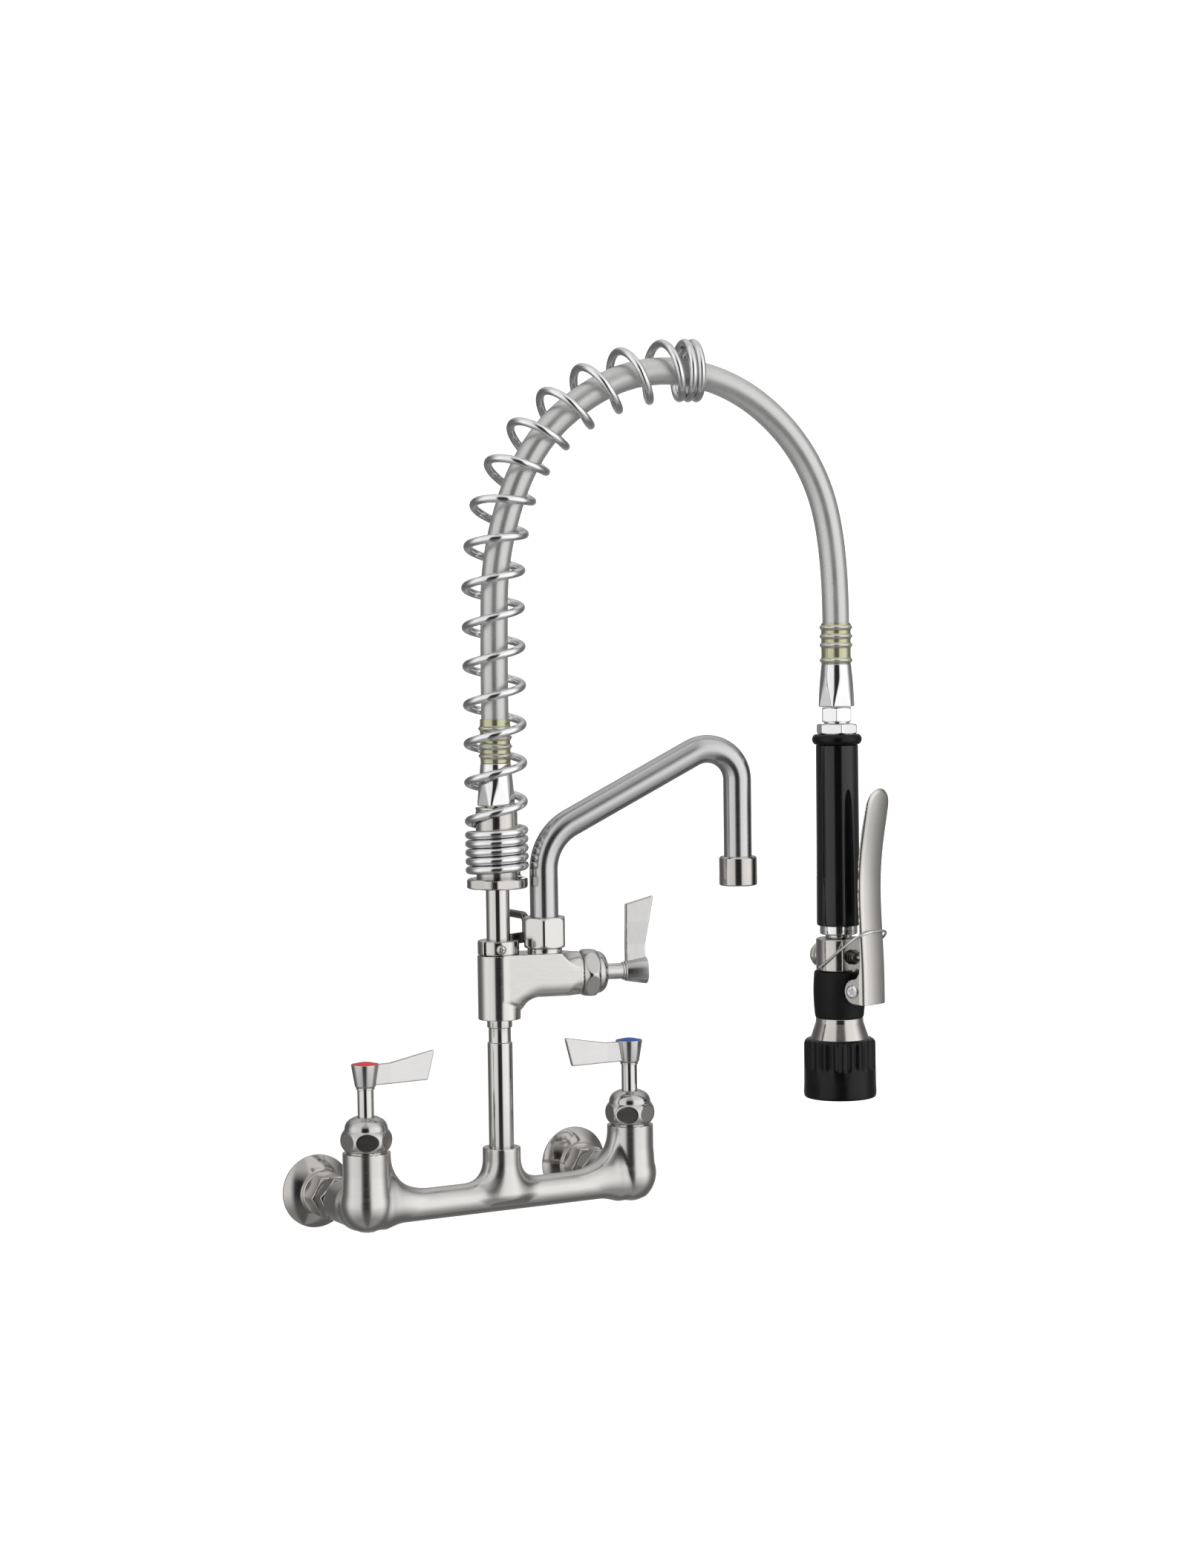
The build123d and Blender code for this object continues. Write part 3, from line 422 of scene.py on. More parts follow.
class Look(Graph):
    """A node material with a Principled shader; "local" is each piece's own frame, in millimetres."""

    def __init__(self, name, colour, roughness, metallic=0.0, coat=0.0):
        self.material = bpy.data.materials.new(name)
        self.material.use_nodes = True
        super().__init__(self.material.node_tree)
        self.inputs = self.nodes["Principled BSDF"].inputs
        self.inputs["Base Color"].default_value = (*colour, 1)
        self.inputs["Roughness"].default_value = roughness
        self.inputs["Metallic"].default_value = metallic
        self.inputs["Coat Weight"].default_value = coat
        self.inputs["Coat Roughness"].default_value = 0.08
        self.local = self.node("Attribute", {}, "Vector", attribute_name="local")

    def noise(self, stretch, detail=3.0):
        at = self.node("Mapping", {"Vector": self.local, "Scale": stretch})
        return self.node("TexNoise", {"Vector": at, "Scale": 1.0, "Detail": detail}, "Fac")

    def colour(self, value):
        self.links.new(value, self.inputs["Base Color"])

    def roughness(self, value):
        self.links.new(value, self.inputs["Roughness"])

    def bump(self, value, depth_mm, strength=1.0):
        normal = self.node("Bump", {"Height": value, "Distance": depth_mm * MM, "Strength": strength})
        self.links.new(normal, self.inputs["Normal"])


def brushed(name, colour, roughness, stretch, depth_mm=0.006, spread=0.04, tint=0.02):
    """Satin metal: fine streaks along one direction, over a slow cloudiness left by the polishing wheel."""
    look = Look(name, colour, roughness, metallic=1.0)
    streaks = look.noise(stretch, 4.0)
    cloud = look.noise((0.05, 0.05, 0.05), 2.0)
    darker = tuple(c * (1 - 2 * tint) for c in colour)
    look.colour(look.mixed(look.ranged(cloud, 0, 1), darker, colour))
    fine = look.ranged(streaks, -spread, spread)
    slow = look.ranged(cloud, -spread / 3, spread / 3)
    look.roughness(look.sum(look.sum(fine, slow), roughness))
    look.bump(streaks, depth_mm, 0.35)
    return look.material


def polished(name, colour, roughness=0.06):
    """Plated metal: a faint ripple under the plating and light handling marks in its gloss."""
    look = Look(name, colour, roughness, metallic=1.0)
    marks = look.noise((0.35, 0.35, 0.35), 5.0)
    ripple = look.noise((0.06, 0.06, 0.06), 1.0)
    look.roughness(look.ranged(marks, roughness * 0.6, roughness * 1.6))
    look.colour(look.mixed(look.ranged(ripple, 0, 1), tuple(c * 0.94 for c in colour), colour))
    look.bump(ripple, 0.05, 0.25)
    return look.material


def moulded(name, colour, roughness, grain_mm, depth_mm, coat=0.0):
    """Rubber or plastic: a fine moulded grain, slightly uneven in gloss and tone."""
    look = Look(name, colour, roughness, coat=coat)
    size = 1 / grain_mm
    grain = look.noise((size, size, size), 3.0)
    cloud = look.noise((0.08, 0.08, 0.08), 2.0)
    lighter = tuple(c * 1.5 for c in colour)
    look.inputs["Specular IOR Level"].default_value = 0.26
    look.colour(look.mixed(look.ranged(cloud, 0, 1), colour, lighter))
    look.roughness(look.ranged(cloud, roughness - 0.05, roughness + 0.07))
    look.bump(grain, depth_mm, 0.4)
    return look.material


def braided(name):
    """Clear sheath over a fine braid: two crossing families of threads; local x is the arc round it."""
    look = Look(name, (0.5, 0.5, 0.5), 0.26, metallic=0.72, coat=0.35)
    around, along, _ = look.split(look.local)
    weave = None
    for lean in (5.0, -5.0):
        phase = look.sum(look.product(around, lean), look.product(along, 7.0))
        thread = look.math("SINE", phase)
        weave = thread if weave is None else look.math("MAXIMUM", weave, thread)
    cloud = look.noise((0.1, 0.04, 0.1), 3.0)
    tone = look.sum(look.product(weave, 0.35), look.product(cloud, 0.6))
    look.colour(look.mixed(look.ranged(tone, 0, 1, 0.0, 0.8), (0.47, 0.47, 0.465), (0.62, 0.62, 0.61)))
    look.roughness(look.ranged(cloud, 0.2, 0.32))
    look.bump(weave, 0.03, 0.3)
    return look.material


def crimped(name):
    """Ferrule: silver on the ribs and olive between them, told apart by distance from its axis."""
    look = Look(name, (0.5, 0.5, 0.45), 0.16, metallic=0.85, coat=0.3)
    x, y, _ = look.split(look.local)
    radius = look.math("POWER", look.sum(look.product(x, x), look.product(y, y)), 0.5)
    marks = look.noise((0.3, 0.3, 0.3), 3.0)
    edge = look.sum(radius, look.product(marks, 0.4))
    look.colour(look.mixed(look.ranged(edge, 0, 1, 10.9, 11.6), (0.50, 0.49, 0.32), (0.64, 0.64, 0.62)))
    look.roughness(look.ranged(marks, 0.12, 0.24))
    return look.material


SATIN = brushed("satin_steel", (0.62, 0.605, 0.59), 0.22, (0.10, 0.10, 3.0), 0.004)
FILLER = brushed("satin_filler", (0.66, 0.645, 0.62), 0.16, (0.10, 3.0, 3.0), 0.004)
SATIN_TUBE = brushed("satin_tube", (0.56, 0.56, 0.56), 0.21, (0.10, 0.10, 3.0), 0.004)
BRIGHT = brushed("bright_pipe", (0.63, 0.62, 0.605), 0.1, (2.0, 2.0, 0.06), 0.003, 0.02)
BONNET = brushed("turned_bonnet", (0.58, 0.565, 0.555), 0.12, (0.08, 0.08, 4.0), 0.004, 0.03)
TURNED = brushed("turned_steel", (0.56, 0.54, 0.515), 0.14, (0.08, 0.08, 4.0), 0.004, 0.03)
LEVER_STEEL = brushed("lever_steel", (0.60, 0.592, 0.588), 0.2, (0.10, 2.0, 2.0), 0.003)
TRIGGER_STEEL = brushed("trigger_steel", (0.66, 0.64, 0.61), 0.26, (2.0, 2.0, 0.06))
CHROME = polished("chrome", (0.82, 0.82, 0.825), 0.045)
NICKEL = polished("nickel", (0.58, 0.56, 0.53), 0.12)
DARK_STEEL = brushed("dark_steel", (0.20, 0.19, 0.185), 0.25, (1.0, 1.0, 4.0))
GRIP = moulded("grip_black", (0.0025, 0.0025, 0.003), 0.1, 6.0, 0.01, coat=0.5)
RUBBER = moulded("rubber_black", (0.002, 0.002, 0.0024), 0.26, 0.5, 0.015)
FLEX = moulded("boot_rubber", (0.0022, 0.0022, 0.0026), 0.5, 0.7, 0.05)
RED = moulded("button_red", (0.30, 0.008, 0.016), 0.3, 1.2, 0.01)
BLUE = moulded("button_blue", (0.005, 0.04, 0.22), 0.3, 1.2, 0.01)
GREY_PLASTIC = moulded("grey_plastic", (0.22, 0.22, 0.225), 0.45, 0.8, 0.02)
FERRULE = crimped("ferrule_metal")
BRAID = braided("braided_hose")


# ---- making pieces
def show(name, mesh, place, body, look, kept_local=None):
    """Makes a smooth-shaded piece in the row frame that rides on a body and stands for its CAD node."""
    world, faces = placed(mesh, place)
    data = bpy.data.meshes.new(f"{name}_piece")
    data.from_pydata((world * MM).tolist(), [], [tuple(int(i) for i in f) for f in faces])
    data.validate()
    local = data.attributes.new("local", "FLOAT_VECTOR", "POINT")
    own = mesh[0] if kept_local is None else kept_local
    local.data.foreach_set("vector", np.asarray(own, np.float32).ravel())
    data.shade_smooth()
    data.set_sharp_from_angle(angle=math.radians(38))
    data.materials.append(look)
    piece = bpy.data.objects.new(f"{name}_piece", data)
    bpy.context.scene.collection.objects.link(piece)
    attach(piece, body)
    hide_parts(name)
    return piece


def steel(name, mesh, place, body, look):
    show(name, mesh, place, body, look)


# ---- mixer body and wall inlets
def mixer_body():
    """Two columns, the cross tube with its boss and two inlets, run together by large fillets."""
    cross_r, boss_r, boss_top, inlet_r, inlet_end = 10.75, 13.1, 33.4, 14.6, 41
    column = [(0, COLUMN_TOP), (16.2, COLUMN_TOP), (16.2, 24)]
    column += arc((17.0, 12), (17.4, 0), (10.8, -11.2), 10) + [(5, -13.9), (0, -14.3)]

    def field(p):
        cross = bar(p, (-HALF_SPACING, 0, 0), (HALF_SPACING, 0, 0), cross_r)
        boss = disc(p, 0, boss_top, boss_r, 0.8)
        body = blended(cross, boss, 1 + 15 * ease(p[:, 2], -9, 3))
        for side in (-1, 1):
            q = p - np.array((side * HALF_SPACING, 0, 0))
            inlet = bar(q, (0, 0, 0), (0, inlet_end, 0), inlet_r, 0.8)
            upright = blended(turned(q, column), inlet, 1 + 9 * ease(q[:, 1], 0, 16))
            inner = ease(-side * q[:, 0], -4, 20) * (1 - ease(np.abs(p[:, 1]), 7, 17))
            fillet = 1 + 8 * ease(-side * q[:, 0], 1, 14) + inner * (4 + 17 * ease(q[:, 2], -9, 7))
            body = blended(body, upright, fillet)
        return shared(shared(body, p[:, 2] - COLUMN_TOP, 0.8), p[:, 1] - inlet_end, 0.8)

    mesh = surface(field, (-122, -20, -16), (122, 42, 41), 1.0)
    steel("mixer_body", mesh, RISER, "base", SATIN)


def hex_ring(across_flats, low, high, corner, bevel, hole=0.0, turned_by=0.0, edge=0.5):
    """A hexagon whose corners are turned down by a conical bevel at both faces."""
    inset = corner - 1.9 * bevel
    foot, head = [(0, low), (inset, low)], [(inset, high), (0, high)]
    outline = foot + [(corner, low + bevel), (corner, high - bevel)] + head

    def field(p):
        solid = shared(turned(p, outline), hexagon(p, across_flats, turned_by), edge)
        if not hole:
            return solid
        return without(solid, from_axis(p) - hole, 0.5)

    return surface(field, (-corner - 1, -corner - 1, low), (corner + 1, corner + 1, high), 0.45)


def threaded(radius, bore, low, high, pitch=1.81, depth=0.75, around=72):
    """A pipe with a helical thread, cut down into a lead-in at its far end."""
    angles = [math.tau * j / around for j in range(around)]
    rings = [[(bore * math.cos(a), bore * math.sin(a), low) for a in angles]]
    for z in np.arange(low, high + 0.01, pitch / 8):
        ring = []
        for j, a in enumerate(angles):
            phase = (z / pitch - j / around) % 1.0
            groove = depth * (1 - abs(2 * phase - 1))
            lead = max(0.0, z - (high - 1.5)) * 0.6
            fade = min(1.0, max(0.0, (z - low) / 2))
            r = radius - groove * fade - lead
            ring.append((r * math.cos(a), r * math.sin(a), z))
        rings.append(ring)
    rings.append([(bore * math.cos(a), bore * math.sin(a), high) for a in angles])
    return loft(rings, closed=True)


def wall_inlets():
    """Both shanks, union nuts, washers, threaded tails and dished flanges; their Z points into the wall."""
    nut = hex_ring(27, -28, -13, 15.6, 1.2, 9.0)
    shank = together(
        lathe([(8.5, -46), (11.6, -46), (11.6, -44), (8.5, -44)], radius=0.3),
        hex_ring(28, -44, -33, 16.2, 1.6, 8.5, turned_by=12.0),
        lathe([(8.0, -34), (11, -34), (11, -30.5), (10.3, -30), (10.3, -20), (8.0, -20)]),
    )
    neck = TAIL_R - 0.2
    collar = [(TAIL_BORE_R, -18.5), (11.8, -18.5), (11.8, -16), (neck, -16), (neck, 0.3), (TAIL_BORE_R, 0.3)]
    tail = together(lathe(collar, radius=0.3), threaded(TAIL_R, TAIL_BORE_R, 0.0, 25.0))
    bore = TAIL_R + 0.5
    flange = lathe(
        [(bore, -13), (14.6, -13), (15.2, -12.4), (15.2, -9.2)]
        + arc((16.0, -8.6), (21.0, -5.4), (FLANGE_R - 0.5, -1.9), 8)
        + [(FLANGE_R, -1.4), (FLANGE_R, 0), (FLANGE_R - 1.6, 0)]
        + arc((FLANGE_R - 2.4, -0.8), (20.0, -3.8), (15.0, -7.2), 8) + [(bore, -7.4)],
        around=128, radius=0.3,
    )
    washer = lathe([(TAIL_BORE_R, -20), (10.1, -20), (10.1, -18.5), (TAIL_BORE_R, -18.5)], radius=0.2)

    def both(mesh):
        return together(*[placed(mesh, place) for place in INLETS])

    for name, mesh, look in (
        ("union_nuts", nut, SATIN), ("inlet_shanks", shank, TURNED), ("tailpieces", tail, TURNED),
        ("wall_flanges", flange, TURNED),
    ):
        show(name, both(mesh), WHERE_MADE, "base", look, np.vstack([mesh[0], mesh[0]]))
    show("union_washers", both(washer), WHERE_MADE, "base", RUBBER)


# ---- lever valves
def bonnet(name, height, flats_turn):
    """Domed nut: six flats cut into a swelling band, each an oval, and a dome above a crease."""
    outline = (
        [(0, 0.9), (14.2, 0.9)] + arc((14.6, 1.1), (17.5, 0.35 * height), (14.7, 0.64 * height), 12)
        + arc((14.6, 0.66 * height), (13.0, 0.86 * height), (9.0, 0.975 * height), 8)
        + [(8.2, height), (0, height)]
    )

    def field(p):
        body = shared(turned(p, outline), hexagon(p, 31.1, flats_turn), 0.3)
        foot = disc(p, -1, 2, 13.6, 0.3)
        return without(np.minimum(body, foot), disc(p, height - 2, height + 3, 5.7, 0.3), 0.5)

    mesh = surface(field, (-18.5, -18.5, -1.0), (18.5, 18.5, height), 0.5)
    steel(f"bonnet_{name}", mesh, VALVES[name], "base", BONNET)


def blade_line(x):
    """How far the blade's middle stands off the hub's centre plane: a gentle S towards the tip."""
    return np.interp(x, (4, 18, 34, 53), (0.0, -0.5, 0.6, 1.2))


def lever(name, foot):
    """Tapered hub, open on top for its button, and a flat blade let into its side."""
    top, floor_z, recess_r, rim_r = foot + HUB_HEIGHT, foot + HUB_HEIGHT - 2.6, BUTTON_R + 0.05, 9.4
    hub = [
        (4.0, foot), (6.6, foot), (7.1, foot + 1.0), (rim_r, top - 0.5), (rim_r, top), (recess_r, top),
        (recess_r, floor_z), (4.0, floor_z),
    ]
    under, over = foot + 0.8, top - 0.8
    side = [(2, under), (46.5, under), (52, top + 5.7), (30, top + 1.6), (18, top - 0.5), (2, over)]
    side = soften(side, 1.2)

    def field(p):
        profile = polygon(p[:, [0, 2]], side)
        half = np.interp(p[:, 0], (8, 52), (2.0, 1.3))
        blade = shared(profile, np.abs(p[:, 1] - blade_line(p[:, 0])) - half, 0.9)
        root = from_axis(p) - np.interp(p[:, 2], (foot, top), (6.4, 8.9))
        return without(blade, root, 0.2)

    blade = surface(field, (2, -5, foot), (53, 5, top + 6.5), 0.5)
    mesh = together(lathe(hub, radius=0.4), blade)
    steel(f"lever_{name}", mesh, VALVES[name], f"{name}_handle", LEVER_STEEL)


def stem(name, foot):
    stem_r, spigot_r = 5.5, 4.0
    seat, tip = foot + 0.5, foot + 7
    rod = lathe([(0, -6.5), (stem_r, -6.5), (stem_r, seat), (spigot_r, seat), (spigot_r, tip), (0, tip)])
    ring = lathe([(5.4, foot - 1.6), (6.2, foot - 1.6), (6.2, foot - 0.2), (5.4, foot - 0.2)], radius=0.3)
    steel(f"stem_{name}", together(rod, ring), VALVES[name], f"{name}_handle", BRIGHT)


def index_button(name, foot):
    """Shallow coloured dome let into the hub's recess."""
    rim = foot + HUB_HEIGHT - 0.3
    dome = arc((BUTTON_R, rim), (4.6, rim + 1.31), (0.3, rim + 1.8), 10)
    disc = lathe([(0, rim - 2.2), (BUTTON_R, rim - 2.2)] + dome, radius=0.2)
    look, slot = (RED, "hot_red") if name == "hot" else (BLUE, "cold_blue")
    button = show(f"index_button_{name}", disc, VALVES[name], f"{name}_handle", look)
    # no coloured streak runs down the bright pieces beside it
    button.visible_glossy = False


# ---- risers and pot filler
def risers():
    """Two pipes; the lower one has a turned-down band under the pot filler."""
    band_r = 7.65
    band = [(LOWER_RISER_R, 105.5), (band_r, 105.9), (band_r, 115.8), (LOWER_RISER_R, 116.2)]
    lower = [(RISER_BORE_R, 14), (LOWER_RISER_R, 14), *band, (LOWER_RISER_R, 133), (RISER_BORE_R, 133)]
    steel("lower_riser", lathe(lower, radius=0.25), RISER, "base", BRIGHT)
    upper = [(6.2, 152), (UPPER_RISER_R, 152), (UPPER_RISER_R, 234), (6.2, 234)]
    steel("upper_riser", lathe(upper), RISER, "base", BRIGHT)


def pot_filler_body():
    """A barrel and a flat-sided arm, rounded below, whose top corners are turned down to the valve's neck."""
    foot, barrel_top, arm_top, arm_under = 121.6, 165.7, 166.4, 135.8
    turned_down = arc((22.5, 40), (17.0, 46.5), (15.1, FILLER_ARM_END), 16)
    # the arm in side view: only its underside is its own edge, and it curves down to the barrel's foot
    below = [(-30, 124), (14, 124)] + arc((14.2, 123.4), (18.4, 132.0), (29, arm_under), 12)
    outline = below + [(90, arm_under), (90, 200), (-30, 200)]

    def field(p):
        barrel = disc(p, foot, barrel_top, FILLER_HALF + 0.2, 0.6)
        rounding = 11 + 3.2 * ease(-p[:, 2], -140, -132)
        arm = shared(polygon(p[:, [0, 2]], outline), np.abs(p[:, 1]) - FILLER_HALF, rounding)
        arm = shared(arm, p[:, 2] - arm_top, 0.8)
        reach = np.interp(p[:, 0], [x for _, x in turned_down], [r for r, _ in turned_down])
        arm = shared(arm, np.hypot(p[:, 1], p[:, 2] - FILLER_AXIS_Z) - reach, 0.7)
        arm = shared(arm, np.maximum(-p[:, 0], p[:, 0] - FILLER_ARM_END), 0.5)
        body = blended(barrel, arm, 0.6 + 2 * ease(p[:, 0], 6, 12) * ease(-p[:, 2], -140, -132))
        seat = bar(p, (SPOUT_X, 0, 160), (SPOUT_X, 0, 169.2), 12.0, 0.4)
        recess = disc(p, foot - 4, foot + 1, LOWER_RISER_R + 0.3, 0.2)
        return without(np.minimum(body, seat), recess, 0.4)

    mesh = surface(field, (-16, -16.5, 121), (57.5, 16.5, 169.5), 0.6)
    steel("pot_filler_body", mesh, ARM, "base", FILLER)


def spout_path():
    """Foot, bend, slope, bend, down leg, as one smooth line."""
    foot, low, end = 168, 244.7, 213
    high = low + (SPOUT_REACH - SPOUT_X) * math.tan(math.radians(27.6))
    corners = [(SPOUT_X, 0, foot), (SPOUT_X, 0, low), (SPOUT_REACH, 0, high), (SPOUT_REACH, 0, end)]
    *bends, last = rounded_path(corners, (36.0, 22.0), 27)[1:]
    rise = [(SPOUT_X, 0, foot + t * (low - foot)) for t in np.linspace(0, 0.6, 6)]
    return rise + bends + [bends[-1].lerp(last, t) for t in (0.25, 0.5, 0.75, 1.0)]


def spout():
    """Nut with six arched flats, the bent tube and the outlet's collar."""
    low_end = arc((13.4, 169.6), (14.8, 170.5), (15.55, 173.2), 6)
    high_end = arc((15.55, 187.3), (14.8, 190.0), (13.4, 190.9), 6)
    nut_form = [(0, 169.5)] + low_end + high_end + [(0, 191)]

    def nut(p):
        solid = shared(turned(p, nut_form), hexagon(p, 28, 15.0), 0.4)
        foot = disc(p, 169.5, 172, 13.2, 0.3)
        return without(np.minimum(solid, foot), disc(p, 190.2, 194, 10.3, 0.2), 0.4)

    seat = ARM @ move(SPOUT_X, 0, 0)
    steel("spout_nut", surface(nut, (-17.5, -17.5, 169), (17.5, 17.5, 191.5), 0.5), seat, "base", BRIGHT)
    steel("spout_tube", sweep(spout_path(), SPOUT_R, 72), ARM, "spout", SATIN_TUBE)
    low, high, outer = 207.6, 227.9, 13.2
    outside = [(12.5, low), (outer, low + 0.8), (outer, high - 1.3), (12.2, high)]
    outline = [(SPOUT_R, low), *outside, (SPOUT_R, high)]
    steel("spout_outlet", lathe(outline, radius=0.4), ARM @ move(SPOUT_REACH, 0, 0), "spout", TURNED)


def clamp():
    """Split collar, its cross-recess screw and the hook that parks the spray valve."""
    low, high, outer, inner = 166.0, 176.0, 14.3, UPPER_RISER_R
    ring = [(inner, low), (13.5, low), (outer, low + 0.8), (outer, high - 0.8), (13.5, high), (inner, high)]

    def collar(p):
        q = p @ np.array(turn("Z", 22).to_3x3())
        slot = shared(np.abs(q[:, 1]) - 0.9, q[:, 0] + 4, 0.2)
        return without(turned(p, ring), slot, 0.5)

    mesh = surface(collar, (-15, -15, low - 0.5), (15, 15, high + 0.5), 0.45)
    steel("clamp_collar", mesh, RISER, "base", BRIGHT)

    def screw(p):
        head = turned(p, [(0, 0), (3.4, 0)] + arc((3.4, 0.3), (2.6, 1.6), (0.0, 2.2), 6))
        shank = disc(p, -4, 1, 2.0, 0.2)
        cross = np.minimum(
            block(p, (-1.9, -0.4, 1.0), (1.9, 0.4, 3), 0.1), block(p, (-0.4, -1.9, 1.0), (0.4, 1.9, 3), 0.1)
        )
        return without(np.minimum(head, shank), cross, 0.15)

    face = RISER @ turn("Z", -109) @ move(outer, 0, 170.4) @ turn("Y", 90)
    steel("clamp_screw", surface(screw, (-4, -4, -4), (4, 4, 2.5), 0.2), face, "base", BRIGHT)

    out, bearing = 30, 23
    x, y = out * math.cos(math.radians(bearing)), out * math.sin(math.radians(bearing))
    rod = rounded_path([(x, y, 172.5), (x, y, 190), (x, y + 43, 190), (x, y + 43, 199)], (5.0, 5.0))

    def plate(p):
        return block(p, (14.1, -1.5, 171.5), (out, 1.5, 179), 0.6)

    tab = surface(plate, (13.5, -2, 171), (out + 0.5, 2, 179.5), 0.5)
    hook = together(sweep(rod, 2.75, 24), placed(tab, turn("Z", bearing)))
    steel("spray_hook", hook, RISER, "base", DARK_STEEL)


# ---- arch: base nut, adaptor, spring and hose
def arch_foot():
    """Hexagonal flange under the spring, and the grooved adaptor that the hose screws onto."""
    flange = hex_ring(40, 211.5, SPRING_BASE, 21.2, 0.8, turned_by=8.0)
    steel("spring_nut", flange, ARM, "arch", TURNED)
    barrel_r, bore_r, groove_r, top = 14.35, 8.2, 13.9, ADAPTOR_TOP
    groove = [(barrel_r, top - 2.8), (groove_r, top - 2.4), (groove_r, top - 1.8), (barrel_r, top - 1.4)]
    outline = [
        (bore_r, 211.8), (10.8, 211.8), (10.8, 218), (barrel_r, 218), *groove, (barrel_r, top), (8.0, top),
        (8.0, 280), (6.6, 280), (6.6, 236), (bore_r, 236),
    ]
    show("hose_adaptor", lathe(outline, radius=0.25), ARM, "arch", NICKEL)


def along_arch(distance):
    """The spring's middle line in the arch's plane: place and lean after a distance from its foot."""
    x, z, lean = 0.0, SPRING_BASE, 0.0
    for length, radius in SPRING_RUNS:
        step = min(distance, length)
        if radius is None:
            x += step * math.sin(lean)
            z += step * math.cos(lean)
        else:
            x += radius * (math.cos(lean) - math.cos(lean + step / radius))
            z += radius * (math.sin(lean + step / radius) - math.sin(lean))
            lean += step / radius
        distance -= step
    return x, z, lean


def overhead_spring():
    """Closed coils on the nut, open coils over the arch and closed coils at the end, as one wire."""
    low, high = CLOSED_LOW * CLOSED_PITCH, CLOSED_HIGH * CLOSED_PITCH
    open_run = sum(length for length, _ in SPRING_RUNS) - low - high - 2 * WIRE_R
    turns = CLOSED_LOW + open_run / OPEN_PITCH + CLOSED_HIGH
    turns_at = (0, CLOSED_LOW, turns - CLOSED_HIGH, turns)
    run_at = (0, low, low + open_run, low + open_run + high)
    path = []
    for step in np.linspace(0, turns, round(turns * 56) + 1):
        distance = np.interp(step, turns_at, run_at)
        x, z, lean = along_arch(distance + WIRE_R)
        out, across = COIL_R * math.cos(math.tau * step), COIL_R * math.sin(math.tau * step)
        path.append((x + out * math.cos(lean), across, z - out * math.sin(lean)))
    wire = sweep(path, WIRE_R, 20)
    show("overhead_spring", wire, ARM, "arch", CHROME)


def route_points():
    """The hose's smooth centreline, read from a NURBS spline with its route as control points."""
    curve = bpy.data.curves.new("hose_route", "CURVE")
    curve.dimensions = "3D"
    curve.resolution_u = 16
    spline = curve.splines.new("NURBS")
    spline.points.add(len(HOSE_ROUTE) - 1)
    for point, (out, height) in zip(spline.points, HOSE_ROUTE):
        here = ARM @ Vector((out / MM, 0, height / MM))
        point.co = (*(here * MM), 1)
    spline.order_u = 3
    spline.use_endpoint_u = True
    route = bpy.data.objects.new("hose_route", curve)
    line = bpy.data.meshes.new_from_object(route)
    points = np.array([v.co for v in line.vertices], float)
    bpy.data.objects.remove(route)
    bpy.data.meshes.remove(line)
    return points


def hose(fittings):
    points = route_points()
    around = 64
    mesh = sweep(points / MM, HOSE_R, around)
    lengths = np.concatenate([[0], np.cumsum(np.linalg.norm(np.diff(points, axis=0), axis=1))]) / MM
    arcs = [HOSE_R * math.tau * min(j, around - j) / around for j in range(around)]
    local = np.array([(a, s, 0) for s in lengths for a in arcs])
    piece = show("hose", mesh, WHERE_MADE, "arch", BRAID, local)


def hose_ends():
    """Crimped ferrules with their ribs, and the long tapered nuts."""
    def ferrule(low, high, beads):
        heights = np.linspace(low, high, 80)
        radii = [10.3 + sum(1.35 * math.exp(-((z - b) / 1.35) ** 2) for b in beads) for z in heights]
        return lathe([(5.6, low), *[(r, z) for r, z in zip(radii, heights)], (5.6, high)], radius=0.3)

    def nut(low, high):
        def field(p):
            t = (p[:, 2] - low) / (high - low)
            cone = from_axis(p) - (13.3 - 2.9 * t)
            body = shared(cone * 0.99, hexagon(p, 23.4), 0.5)
            body = shared(body, np.maximum(low - p[:, 2], p[:, 2] - high), 0.8)
            return without(body, from_axis(p) - 8.0, 0.4)

        return surface(field, (-14, -14, low), (14, 14, high), 0.5)

    end = ARM @ move(SPRAY_REACH, 0, 0)
    spacing = 6.2
    low_beads = [LOWER_NUT_TOP + 5 + spacing * k for k in range(4)]
    high_beads = [HOSE_END - 3 - spacing * k for k in range(3)] + [UPPER_NUT_TOP + 2.4]
    low_ferrule = ferrule(LOWER_NUT_TOP, HOSE_BOTTOM, low_beads)
    high_ferrule = ferrule(UPPER_NUT_TOP, HOSE_END, high_beads)
    low_nut, high_nut = nut(ADAPTOR_TOP + 1, LOWER_NUT_TOP), nut(330.6, UPPER_NUT_TOP)
    return [
        show("lower_ferrule", low_ferrule, ARM, "arch", FERRULE),
        show("upper_ferrule", high_ferrule, end, "arch", FERRULE),
        show("lower_hose_nut", low_nut, ARM, "arch", CHROME),
        show("upper_hose_nut", high_nut, end, "arch", CHROME),
    ]


# ---- spray valve
def spray_piece(name, mesh, look, place=SPRAY, body="spray"):
    show(name, mesh, place, body, look)


